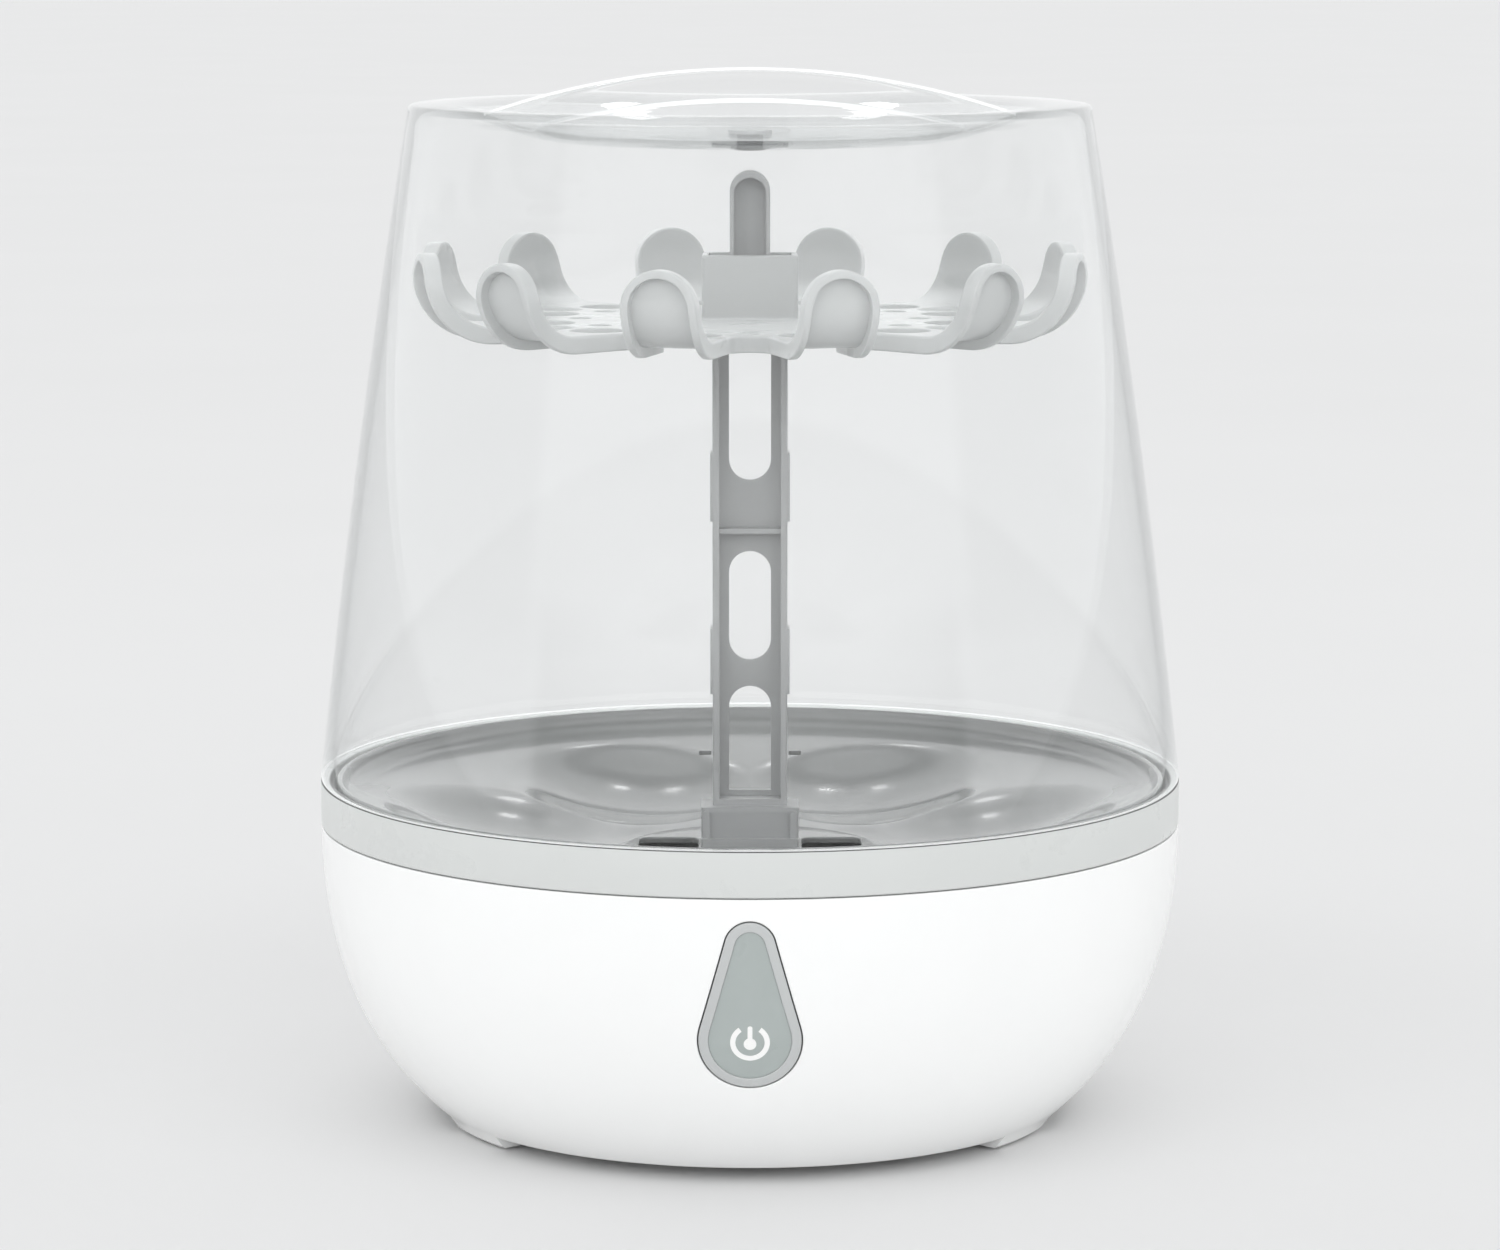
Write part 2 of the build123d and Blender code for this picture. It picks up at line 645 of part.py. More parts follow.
tip0 = (z0.X, z0.Y, z0.Z - 10.3)
tip1 = (z1.X, z1.Y, z1.Z - 10.3)
leads = [
    lead([tip0, (-11.2, 40.5, 14.5), (-19.0, 43.5, 11.0), (-28.0, 39.0, 12.5), (-35.5, 30.0, 17.0), (-37.0, 18.9, 18.6)], 1.1),
    lead([tip1, (11.2, 40.0, 14.5), (14.0, 33.0, 11.5), (12.5, 22.0, 13.0), (8.5, 11.0, 20.0), (5.4, 1.5, 30.4)], 1.1),
]
save("heater_leads", group(leads))
cable = [
    lead([(10.0 + i * 1.6, -105.3, 40.5), (10.0 + i * 1.6, -94.0, 38.5), (7.0 + i * 1.6, -82.0, 28.0), (0.0 + i * 1.6, -64.0, 21.5), (-12.0 + i * 1.6, -46.0, 21.0), (-26.0 + i * 1.6, -32.0, 22.5), (-34.0 + i * 1.6, -22.0, 20.0), (-34.0 + i * 1.6, -19.0, 15.8)], 0.7)
    for i in range(4)
]
save("board_cable", group(cable))

# ---------------------------------------------------------------- bottle rack
CONE = (38.0, RACK_HUB_Z, 112.0, 95.2)     # inner radius, height, outer radius, height
slope = (CONE[3] - CONE[1]) / (CONE[2] - CONE[0])
cone_z = CONE[1] + slope * (SEAT_PCD_R - CONE[0])
nrm = math.hypot(1, slope)
nr, nz = -slope / nrm, 1 / nrm
SEAT_SPHERE = (SEAT_R ** 2 + SEAT_DEPTH ** 2) / (2 * SEAT_DEPTH)
sc_r = SEAT_PCD_R + nr * (SEAT_SPHERE - SEAT_DEPTH)
sc_z = cone_z + nz * (SEAT_SPHERE - SEAT_DEPTH)
top_air = turned(
    chain(
        [(0, CONE[1]), (CONE[0], CONE[1])],
        [(CONE[0], CONE[1]), (CONE[2], CONE[3])],
        [(CONE[2], CONE[3]), (118.6, 96.7)],
        [(118.6, 96.7), (121.8, 97.8), (123.2, 100.0)],
        [(123.2, 100.0), (123.4, 112.0)],
        [(123.4, 112.0), (0, 112.0)],
        [(0, 112.0), (0, CONE[1])],
    )
)
low_body = turned(
    chain(
        [(0, CONE[1] - RACK_T), (CONE[0] + 0.2, CONE[1] - RACK_T)],
        [(CONE[0] + 0.2, CONE[1] - RACK_T), (CONE[2] + 0.4, CONE[3] - RACK_T - 0.05)],
        [(CONE[2] + 0.4, CONE[3] - RACK_T - 0.05), (119.6, 94.9)],
        [(119.6, 94.9), (121.4, 96.5)],
        [(121.4, 96.5), (125.2, 96.5)],
        [(125.2, 96.5), (125.2, 102.4)],
        [(125.2, 102.4), (124.6, 103.0)],
        [(124.6, 103.0), (0, 103.0)],
        [(0, 103.0), (0, CONE[1] - RACK_T)],
    )
)
for i in range(SEAT_COUNT):
    a = i * 360.0 / SEAT_COUNT
    x, y = at(sc_r, a)
    # only the lower cap of each ball is used
    low = Pos(x, y, sc_z) * Sphere(SEAT_SPHERE + RACK_T)
    cx, cy = at(SEAT_PCD_R, a)
    low = low & cyl_z(SEAT_R + 6.0, 74.0, 96.0, cx, cy)
    low_body += low & ring(0, 116.0, 70.0, 102.0)
for i in range(SEAT_COUNT):
    a = i * 360.0 / SEAT_COUNT
    x, y = at(sc_r, a)
    cx, cy = at(SEAT_PCD_R, a)
    ball = (Pos(x, y, sc_z) * Sphere(SEAT_SPHERE)) & cyl_z(SEAT_R + 5.0, 74.0, 102.0, cx, cy)
    top_air += ball
rack = low_body - top_air
# steam openings on both sides of the mast foot, leg slots, and small rear slots
for sx in (-1, 1):
    w = block(min(sx * 15.8, sx * 34.0), max(sx * 15.8, sx * 34.0), -17.0, 17.0, 70.0, 90.0)
    w = fillet(w.edges().filter_by(Axis.Z), 3.0)
    rack -= w
    rack -= block(sx * 9.0 - 2.3, sx * 9.0 + 2.3, -5.2, 5.2, 70.0, 90.0)
    rack -= block(sx * 14.5 - 2.0, sx * 14.5 + 2.0, 96.0, 99.0, 80.0, 100.0)
    rack -= block(sx * 14.5 - 2.0, sx * 14.5 + 2.0, -99.0, -96.0, 80.0, 100.0)
save("bottle_rack", one(rack))

# ---------------------------------------------------------------- mast
fz0, fz1 = RACK_HUB_Z + 0.02, 93.4
mast = block(-MAST_W / 2, MAST_W / 2, -MAST_D / 2, MAST_D / 2, fz0, MAST_SHOULDER)
mast += block(-FOOT_W / 2, FOOT_W / 2, -8.0, 8.0, fz0, fz1)
mast += block(-FOOT_W / 2, FOOT_W / 2, -10.5, 10.5, fz0, 84.1)
for zc0, zc1 in ((180.2, 200.8), (127.6, 147.5)):
    mast += block(-MAST_PAD_W / 2, MAST_PAD_W / 2, -MAST_D / 2, MAST_D / 2, zc0, zc1)
mast = fillet(mast.edges().filter_by(Axis.Z), 0.6)
# open channel at the front, with a cross rib left standing
mast -= block(-MAST_W / 2 + MAST_WALL, MAST_W / 2 - MAST_WALL, -MAST_D, MAST_D / 2 - 2.0, 95.4, 253.6)
mast += block(-MAST_W / 2 + 1.0, MAST_W / 2 - 1.0, -3.2, MAST_D / 2 - 1.0, 176.4, 177.8)
for s0, s1 in ((192.0, 250.0), (137.1, 170.4), (97.0, 129.1)):
    r = MAST_SLOT_W / 2
    slot = block(-r, r, -10, 10, s0 + r, s1 - r) + cyl_y(r, -10, 10, 0, s0 + r) + cyl_y(r, -10, 10, 0, s1 - r)
    if s0 < 100:
        slot = block(-r, r, -10, 10, s0, s1 - r) + cyl_y(r, -10, 10, 0, s1 - r)
    mast -= slot & block(-20, 20, 1.0, 12, 90, 260)
# tongue to lift by, hollowed from the front
tr = TONGUE_W / 2
mast += block(-tr, tr, -3.5, MAST_D / 2, MAST_SHOULDER - 1, TONGUE_TOP - tr) + cyl_y(tr, -3.5, MAST_D / 2, 0, TONGUE_TOP - tr)
ti = tr - 1.2
mast -= block(-ti, ti, -6.0, 2.0, MAST_SHOULDER - 0.8, TONGUE_TOP - tr - 0.8) + cyl_y(ti, -6.0, 2.0, 0, TONGUE_TOP - tr - 0.8)
# round-topped ears on the foot block and snap legs through the rack
for sx in (-1, 1):
    ear = block(sx * 13.2 - 1.15, sx * 13.2 + 1.15, -9.2, -7.0, 84.0, 91.3) + cyl_y(1.15, -9.2, -7.0, sx * 13.2, 91.3)
    mast += ear
    leg = block(sx * 9.0 - 1.4, sx * 9.0 + 1.4, -4.5, 4.5, 74.2, 80.5)
    hook = block(sx * 9.0 + sx * 1.2 - 1.4, sx * 9.0 + sx * 1.2 + 1.4, -4.5, 4.5, 74.2, 77.4)
    mast += leg + hook
save("mast", one(mast))


# ---------------------------------------------------------------- teat tray
def arm_profile(r_hi, r_lo, inner_r):
    """Radial section of an arm: flat run, quarter bend and upright, between two radii of bend."""
    ztop = PETAL_TOP + 2.0
    pts = []
    pts.append(Edge.make_line(V(inner_r, BEND_Z - r_lo), V(BEND_R, BEND_Z - r_lo)))
    c = math.sqrt(0.5)
    pts.append(
        Edge.make_three_point_arc(
            V(BEND_R, BEND_Z - r_lo), V(BEND_R + r_lo * c, BEND_Z - r_lo * c), V(BEND_R + r_lo, BEND_Z)
        )
    )
    pts.append(Edge.make_line(V(BEND_R + r_lo, BEND_Z), V(BEND_R + r_lo, ztop)))
    pts.append(Edge.make_line(V(BEND_R + r_lo, ztop), V(BEND_R + r_hi, ztop)))
    pts.append(Edge.make_line(V(BEND_R + r_hi, ztop), V(BEND_R + r_hi, BEND_Z)))
    pts.append(
        Edge.make_three_point_arc(
            V(BEND_R + r_hi, BEND_Z), V(BEND_R + r_hi * c, BEND_Z - r_hi * c), V(BEND_R, BEND_Z - r_hi)
        )
    )
    pts.append(Edge.make_line(V(BEND_R, BEND_Z - r_hi), V(inner_r, BEND_Z - r_hi)))
    pts.append(Edge.make_line(V(inner_r, BEND_Z - r_hi), V(inner_r, BEND_Z - r_lo)))
    return Face(Wire(pts))


def arch_prism(half, top, x0=30.0, x1=120.0):
    """Round-topped upright outline of an arm, as a prism along X."""
    zc = top - half
    e = [
        Edge.make_line(Vector(x0, -half, 200), Vector(x0, half, 200)),
        Edge.make_line(Vector(x0, half, 200), Vector(x0, half, zc)),
        Edge.make_three_point_arc(Vector(x0, half, zc), Vector(x0, 0, top), Vector(x0, -half, zc)),
        Edge.make_line(Vector(x0, -half, zc), Vector(x0, -half, 200)),
    ]
    return extrude(Face(Wire(e)), amount=x1 - x0, dir=(1, 0, 0))


Z_TRAY_TOP = BEND_Z - BEND_IN
Z_TRAY_LOW = BEND_Z - BEND_OUT
solid_arm = extrude(arm_profile(BEND_IN, BEND_OUT, 40.0), amount=PETAL_W / 2 + 2, dir=(0, 1, 0), both=True)
solid_arm = solid_arm & arch_prism(PETAL_W / 2, PETAL_TOP)
hollow_arm = extrude(arm_profile(BEND_IN + TRAY_SHEET, BEND_OUT + 4.0, 30.0), amount=PETAL_W / 2 + 2, dir=(0, 1, 0), both=True)
hollow_arm = hollow_arm & arch_prism(PETAL_W / 2 - TRAY_RIM, PETAL_TOP - TRAY_RIM, 20.0)

# plate outline: a disc and twelve arms with rounded inner corners
outline = Circle(TRAY_BODY_R)
for i in range(PETALS):
    outline += Rot(0, 0, 15 + 30 * i) * Pos(BEND_R / 2 + 1, 0) * Rectangle(BEND_R - 2, PETAL_W)
corners = [v for v in outline.vertices() if v.X ** 2 + v.Y ** 2 < 70 ** 2]
outline = fillet(corners, 5.3)
plate_solid = Pos(0, 0, Z_TRAY_LOW) * extrude(outline, amount=Z_TRAY_TOP - Z_TRAY_LOW)
plate_solid = plate_solid & ring(0, BEND_R - 1.0, 200, 300)
tray = plate_solid
flat_arm = solid_arm & block(0, BEND_R, -20, 20, 200, 300)
for i in range(PETALS):
    tray += Rot(0, 0, 15 + 30 * i) * flat_arm
# hollow underside, leaving a rim all the way round
hollow = ring(0, 55.5, 230.0, Z_TRAY_TOP - TRAY_SHEET)
tray -= hollow
for i in range(PETALS):
    tray -= Rot(0, 0, 15 + 30 * i) * hollow_arm
# The tray is one moulding, kept as the flat plate, the upturned petals and the
# socket over the mast, whose inner ledge rests on the mast's shoulder.
sw, sd = SOCKET_W / 2, SOCKET_D / 2
tray += block(-sw, sw, -sd, sd, Z_TRAY_LOW, Z_TRAY_TOP)
tray -= block(-sw + SOCKET_WALL, sw - SOCKET_WALL, -sd + SOCKET_WALL, sd - SOCKET_WALL, 230.0, 250.0)
for i in range(PETALS):
    x, y = at(TRAY_HOLE_PCR, 15 + 30 * i)
    tray -= cyl_z(TRAY_HOLE_R, 230, 250, x, y)
    x, y = at(TRAY_VENT_PCR, 30 * i)
    tray -= cyl_z(TRAY_VENT_R, 230, 250, x, y)
save("teat_tray", one(tray))
petal = (solid_arm - hollow_arm) & block(BEND_R + 0.02, 140, -20, 20, 200, 300)
save("tray_petals", group([Rot(0, 0, 15 + 30 * i) * petal for i in range(PETALS)]))
sock = block(-sw, sw, -sd, sd, Z_TRAY_TOP + 0.02, SOCKET_TOP)
sock = fillet(sock.edges().filter_by(Axis.Z), 1.2)
sock = chamfer(sock.faces().sort_by(Axis.Z)[-1].edges(), 0.6)
sock -= block(-sw + SOCKET_WALL, sw - SOCKET_WALL, -sd + SOCKET_WALL, sd - SOCKET_WALL, 230.0, MAST_SHOULDER + 0.15)
sock -= block(-sw + SOCKET_WALL, sw - SOCKET_WALL, -sd + SOCKET_WALL, sd - SOCKET_WALL, 258.4, 262.0)
sock -= block(-tr - 0.5, tr + 0.5, -4.1, MAST_D / 2 + 0.6, 250.0, 262.0)
save("tray_socket", one(sock))

# ---------------------------------------------------------------- lid
lid_outer = [(lid_r(z), z) for z in [103.05 + (303.4 - 103.05) * i / 9 for i in range(10)]]
lid_inner = [(lid_in_r(z), z) for z in [108.5 + (300.6 - 108.5) * i / 9 for i in range(10)]]
dish_top = [(89.5, 305.35), (85.0, 304.5), (79.0, 302.4), (70.0, 299.3), (60.0, 297.2), (50.0, 296.4), (40.0, DISH_FLOOR)]
dish_low = [(40.0, DISH_FLOOR - DISH_T), (50.0, 293.8), (60.0, 294.6), (70.0, 296.8), (78.0, 299.6), (84.0, 301.6), (88.0, 302.5)]
# The lid is one clear moulding. It is kept as three joined pieces: the tapered
# wall with its rim and locating lip, the sloping crown, and the flat dish floor.
lid_wall = turned(
    chain(
        lid_outer,
        [lid_outer[-1], (101.75, 304.6), (100.9, 305.3), (100.0, LID_TOP)],
        [(100.0, LID_TOP), (95.6, 305.38)],
        [(95.6, 305.38), (95.6, 302.6)],
        [(95.6, 302.6), (97.2, 302.6)],
        [(97.2, 302.6), (98.7, 302.1), lid_inner[-1]],
        list(reversed(lid_inner)),
        [lid_inner[0], (125.8, 106.0)],
        [(125.8, 106.0), (125.8, 100.8)],
        [(125.8, 100.8), (126.9, 100.8)],
        [(126.9, 100.8), (127.1, 103.05)],
        [(127.1, 103.05), lid_outer[0]],
    )
)
save("lid_wall", one(lid_wall))
lid_crown = turned(
    chain(
        [(95.58, 302.6), (95.58, 305.38)],
        [(95.58, 305.38), (89.5, 305.35)],
        dish_top,
        [(40.0, DISH_FLOOR), (40.0, DISH_FLOOR - DISH_T)],
        dish_low,
        [(88.0, 302.5), (95.58, 302.6)],
    )
)
save("lid_crown", one(lid_crown))
save("lid_dish", ring(4.1, 39.98, DISH_FLOOR - DISH_T, DISH_FLOOR))

# arched grip across the dish, on the XZ plane
def grip_top(x):
    return GRIP_TOP - (GRIP_R_TOP - math.sqrt(GRIP_R_TOP ** 2 - x * x))


def grip_arch(x):
    return GRIP_ARCH_TOP - (GRIP_R_ARCH - math.sqrt(GRIP_R_ARCH ** 2 - x * x))


def P(x, z):
    return Vector(x, -GRIP_T / 2, z)


XE, XA = 79.5, 64.0
grip_face = Face(
    Wire(
        [
            Edge.make_three_point_arc(P(-XE, grip_top(XE)), P(0, GRIP_TOP), P(XE, grip_top(XE))),
            Edge.make_line(P(XE, grip_top(XE)), P(XE, 292.0)),
            Edge.make_line(P(XE, 292.0), P(XA, 292.0)),
            Edge.make_line(P(XA, 292.0), P(XA, grip_arch(XA))),
            Edge.make_three_point_arc(P(XA, grip_arch(XA)), P(0, GRIP_ARCH_TOP), P(-XA, grip_arch(XA))),
            Edge.make_line(P(-XA, grip_arch(XA)), P(-XA, 292.0)),
            Edge.make_line(P(-XA, 292.0), P(-XE, 292.0)),
            Edge.make_line(P(-XE, 292.0), P(-XE, grip_top(XE))),
        ]
    )
)
grip = extrude(grip_face, amount=GRIP_T, dir=(0, 1, 0))
long_edges = [e for e in grip.edges() if e.length > 100 and e.center().Z > 300]
try:
    grip = fillet([e for e in long_edges if e.center().Z > 308], 2.4)
    grip = fillet([e for e in grip.edges() if e.length > 100 and e.center().Z < 308 and e.center().Z > 300], 1.6)
except Exception as err:
    print("grip fillet skipped", err)
dish_fill = turned(
    chain(
        [(0, 280.0), (0, DISH_FLOOR)],
        [(0, DISH_FLOOR), (40.0, DISH_FLOOR)],
        list(reversed(dish_top)),
        [(89.5, 305.35), (95.0, 305.35)],
        [(95.0, 305.35), (95.0, 280.0)],
        [(95.0, 280.0), (0, 280.0)],
    )
)
grip = grip - dish_fill
save("lid_handle", group([s for s in grip.solids() if s.volume > 500]))

vent = cyl_z(11.5, 292.4, 293.68) + cyl_z(4.7, 291.5, 292.5) + cyl_z(3.9, 293.0, 297.0) + cyl_z(6.5, DISH_FLOOR + 0.02, 297.5)
vent -= cyl_z(1.3, 290.0, 299.0)
save("steam_vent", one(vent))
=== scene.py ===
import json
import math

import bmesh
import bpy
import numpy as np
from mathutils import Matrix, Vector, geometry

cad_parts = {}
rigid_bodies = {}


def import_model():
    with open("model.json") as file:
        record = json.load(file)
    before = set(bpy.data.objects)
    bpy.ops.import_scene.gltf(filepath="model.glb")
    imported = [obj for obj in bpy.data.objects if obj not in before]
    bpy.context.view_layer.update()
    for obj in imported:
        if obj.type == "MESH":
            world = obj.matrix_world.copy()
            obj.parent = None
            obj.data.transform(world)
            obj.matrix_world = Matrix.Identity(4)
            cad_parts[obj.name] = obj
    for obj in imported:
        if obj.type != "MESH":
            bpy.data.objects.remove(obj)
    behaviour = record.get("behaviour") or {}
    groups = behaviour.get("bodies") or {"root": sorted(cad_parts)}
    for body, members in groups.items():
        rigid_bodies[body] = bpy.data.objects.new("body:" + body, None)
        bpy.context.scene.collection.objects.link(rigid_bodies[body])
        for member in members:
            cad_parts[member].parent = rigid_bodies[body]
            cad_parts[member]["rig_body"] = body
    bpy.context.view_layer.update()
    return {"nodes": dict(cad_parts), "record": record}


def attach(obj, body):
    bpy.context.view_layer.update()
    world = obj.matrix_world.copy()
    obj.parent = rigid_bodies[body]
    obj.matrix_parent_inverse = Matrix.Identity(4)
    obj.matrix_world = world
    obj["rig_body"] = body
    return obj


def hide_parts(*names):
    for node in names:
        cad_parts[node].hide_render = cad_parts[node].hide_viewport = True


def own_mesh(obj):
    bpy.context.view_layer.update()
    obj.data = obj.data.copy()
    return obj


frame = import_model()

NODES = frame["nodes"]
SCENE = bpy.context.scene
MM = 0.001


# ============================================================ geometry helpers
def build(name, verts, faces, body, mats, replaces=(), angle=32.0, face_mats=None, weld=1e-6, recalc=True):
    """A piece from millimetre vertices. Coincident points are welded and the outside is found."""
    me = bpy.data.meshes.new(name)
    me.from_pydata([(float(x) * MM, float(y) * MM, float(z) * MM) for x, y, z in verts], [], [tuple(int(i) for i in f) for f in faces])
    for m in mats:
        me.materials.append(m)
    if face_mats is not None:
        me.polygons.foreach_set("material_index", face_mats)
    bm = bmesh.new()
    bm.from_mesh(me)
    bmesh.ops.remove_doubles(bm, verts=bm.verts, dist=weld)
    bmesh.ops.dissolve_degenerate(bm, edges=bm.edges, dist=1e-7)
    loose = [v for v in bm.verts if not v.link_faces]
    bmesh.ops.delete(bm, geom=loose, context="VERTS")
    if recalc:
        bmesh.ops.recalc_face_normals(bm, faces=bm.faces)
    bm.to_mesh(me)
    bm.free()
    me.shade_smooth()
    me.set_sharp_from_angle(angle=math.radians(angle))
    ob = bpy.data.objects.new(name, me)
    SCENE.collection.objects.link(ob)
    if body:
        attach(ob, body)
        if replaces:
            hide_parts(*replaces)
    return ob


def join(parts):
    """Several (verts, faces) lists as one."""
    verts, faces = [], []
    for v, f in parts:
        k = len(verts)
        verts.extend(v)
        faces.extend([tuple(i + k for i in q) for q in f])
    return verts, faces


def rounded(points, seg=4, closed=True):
    """Corners given as (a, b, radius) turned into short arcs."""
    out = []
    n = len(points)
    for i, (x, y, rad) in enumerate(points):
        ends = not closed and i in (0, n - 1)
        if rad <= 0 or ends:
            out.append((x, y))
            continue
        p = np.array([x, y], float)
        a = np.array(points[i - 1][:2], float) - p
        b = np.array(points[(i + 1) % n][:2], float) - p
        la, lb = np.linalg.norm(a), np.linalg.norm(b)
        a, b = a / la, b / lb
        half = math.acos(max(-1.0, min(1.0, float(a @ b)))) / 2
        if half > 1.55 or half < 0.02:
            out.append((x, y))
            continue
        t = min(rad / math.tan(half), 0.49 * la, 0.49 * lb)
        r = t * math.tan(half)
        c = p + (a + b) / np.linalg.norm(a + b) * (r / math.sin(half))
        s, e = p + a * t - c, p + b * t - c
        a0, a1 = math.atan2(s[1], s[0]), math.atan2(e[1], e[0])
        d = (a1 - a0 + math.pi) % (2 * math.pi) - math.pi
        for k in range(seg + 1):
            q = a0 + d * k / seg
            out.append((float(c[0] + r * math.cos(q)), float(c[1] + r * math.sin(q))))
    return out


def lathe(profile, n=360, closed=True, x=0.0, y=0.0):
    """Turned surface of (r, z) points about an upright axis."""
    verts, faces = [], []
    k = len(profile)
    for j in range(n):
        a = 2 * math.pi * j / n
        c, s = math.cos(a), math.sin(a)
        verts.extend([(x + r * c, y + r * s, z) for r, z in profile])
    for j in range(n):
        j2 = (j + 1) % n
        for i in range(k if closed else k - 1):
            i2 = (i + 1) % k
            faces.append((j * k + i, j2 * k + i, j2 * k + i2, j * k + i2))
    return verts, faces


def lathe_y(profile, n=48, x=0.0, z=0.0, closed=True):
    """Turned surface of (r, y) points about an axis along Y."""
    v, f = lathe([(r, q) for r, q in profile], n, closed)
    return [(x + p[0], p[2], z + p[1]) for p in v], f


def sample(points, step):
    """A polyline with no run longer than a step."""
    out = []
    for (r0, z0), (r1, z1) in zip(points[:-1], points[1:]):
        n = max(1, int(math.ceil(math.hypot(r1 - r0, z1 - z0) / step)))
        out.extend([(r0 + (r1 - r0) * k / n, z0 + (z1 - z0) * k / n) for k in range(n)])
    out.append(points[-1])
    return out


def spline(points, n):
    """Smooth curve through (r, z) points, by natural cubics over chord length."""
    p = np.array(points, float)
    t = np.concatenate([[0], np.cumsum(np.hypot(*np.diff(p, axis=0).T))])
    m = len(t)
    h = np.diff(t)
    a = np.zeros((m, m))
    a[0, 0] = a[-1, -1] = 1
    for i in range(1, m - 1):
        a[i, i - 1 : i + 2] = h[i - 1], 2 * (h[i - 1] + h[i]), h[i]
    out = []
    for dim in (0, 1):
        rhs = np.zeros(m)
        rhs[1:-1] = 6 * (np.diff(p[1:, dim]) / h[1:] - np.diff(p[:-1, dim]) / h[:-1])
        sec = np.linalg.solve(a, rhs)
        s = np.linspace(0, t[-1], n)
        k = np.clip(np.searchsorted(t, s) - 1, 0, m - 2)
        u, w = s - t[k], t[k + 1] - s
        out.append(
            sec[k] * w**3 / (6 * h[k]) + sec[k + 1] * u**3 / (6 * h[k])
            + (p[k, dim] / h[k] - sec[k] * h[k] / 6) * w + (p[k + 1, dim] / h[k] - sec[k + 1] * h[k] / 6) * u
        )
    return list(zip(out[0].tolist(), out[1].tolist()))


def boolean(target, cutters, operation="DIFFERENCE"):
    """The target's mesh cut by, or joined with, closed helper meshes."""
    for cut in cutters:
        m = target.modifiers.new("cut", "BOOLEAN")
        m.operation = operation
        m.solver = "EXACT"
        m.object = cut
    bpy.context.view_layer.update()
    graph = bpy.context.evaluated_depsgraph_get()
    me = bpy.data.meshes.new_from_object(target.evaluated_get(graph))
    target.modifiers.clear()
    old = target.data
    target.data = me
    bpy.data.meshes.remove(old)
    for cut in cutters:
        data = cut.data
        bpy.data.objects.remove(cut)
        bpy.data.meshes.remove(data)
    return target


def tool(name, verts, faces):
    return build(name, verts, faces, None, [])


def prism(outline, a0, a1, axis="z"):
    """Closed prism of a 2-D outline. axis z: points are (x, y); axis y: points are (x, z)."""
    n = len(outline)
    if axis == "z":
        verts = [(p, q, a0) for p, q in outline] + [(p, q, a1) for p, q in outline]
    else:
        verts = [(p, a0, q) for p, q in outline] + [(p, a1, q) for p, q in outline]
    faces = [tuple(range(n)), tuple(range(2 * n - 1, n - 1, -1))]
    faces += [(i, n + i, n + (i + 1) % n, (i + 1) % n) for i in range(n)]
    return verts, faces


def circle(r, n=48, x=0.0, y=0.0):
    return [(x + r * math.cos(2 * math.pi * k / n), y + r * math.sin(2 * math.pi * k / n)) for k in range(n)]


def rect(hx, hy, r=0.0, x=0.0, y=0.0, seg=5):
    pts = rounded([(hx, hy, r), (-hx, hy, r), (-hx, -hy, r), (hx, -hy, r)], seg)
    return [(x + a, y + b) for a, b in pts]


def sharp_again(me, angle=32.0):
    me.shade_smooth()
    me.set_sharp_from_angle(angle=math.radians(angle))


def own_normals(ob, rule):
    """Corner normals set by a rule on (position in mm, present normal), where it gives one."""
    me = ob.data
    n = len(me.loops)
    cn = np.zeros(n * 3, np.float32)
    me.corner_normals.foreach_get("vector", cn)
    cn = cn.reshape(-1, 3)
    co = np.zeros(len(me.vertices) * 3, np.float32)
    me.vertices.foreach_get("co", co)
    co = co.reshape(-1, 3)[np.array([lp.vertex_index for lp in me.loops])] * 1000.0
    fn = np.zeros((n, 3), np.float32)
    for poly in me.polygons:
        fn[list(poly.loop_indices)] = poly.normal[:]
    new = rule(co, fn)
    mask = ~np.isnan(new[:, 0])
    mask &= (new * fn).sum(1) > 0.97
    cn[mask] = new[mask]
    me.normals_split_custom_set([tuple(v) for v in cn.tolist()])


# ============================================================ shape of the housing
R_MAX, Z_SEAM, BOWL_Z0, BOWL_DEPTH, N1, N2 = 130.0, 103.0, 93.5, 115.5, 2.3335, 2.6506


def bowl_r(z):
    return R_MAX if z >= BOWL_Z0 else R_MAX * (1 - ((BOWL_Z0 - z) / BOWL_DEPTH) ** N1) ** (1 / N2)


def bowl_slope(z):
    return (bowl_r(z + 0.02) - bowl_r(z - 0.02)) / 0.04


TABLES = {}


def bowl_off(z, depth):
    """Radius at height z of the bowl surface moved inwards by a depth."""
    if abs(depth) < 1e-9:
        return bowl_r(z)
    key = round(depth, 4)
    if key not in TABLES:
        zs = np.linspace(-6.0, 97.0, 1400)
        rr = np.array([bowl_r(q) for q in zs])
        ss = np.array([bowl_slope(q) for q in zs])
        n = np.hypot(1, ss)
        TABLES[key] = (zs + depth * ss / n, rr - depth / n)
    return float(np.interp(z, *TABLES[key]))


def skin_y(x, z, depth, side=-1):
    r = bowl_off(z, depth)
    return side * math.sqrt(max(r * r - x * x, 0.0))


BTN_Z1, BTN_R1, BTN_Z2, BTN_R2 = 47.8, 14.9, 75.7, 7.5
LEAN = math.asin((BTN_R1 - BTN_R2) / (BTN_Z2 - BTN_Z1))


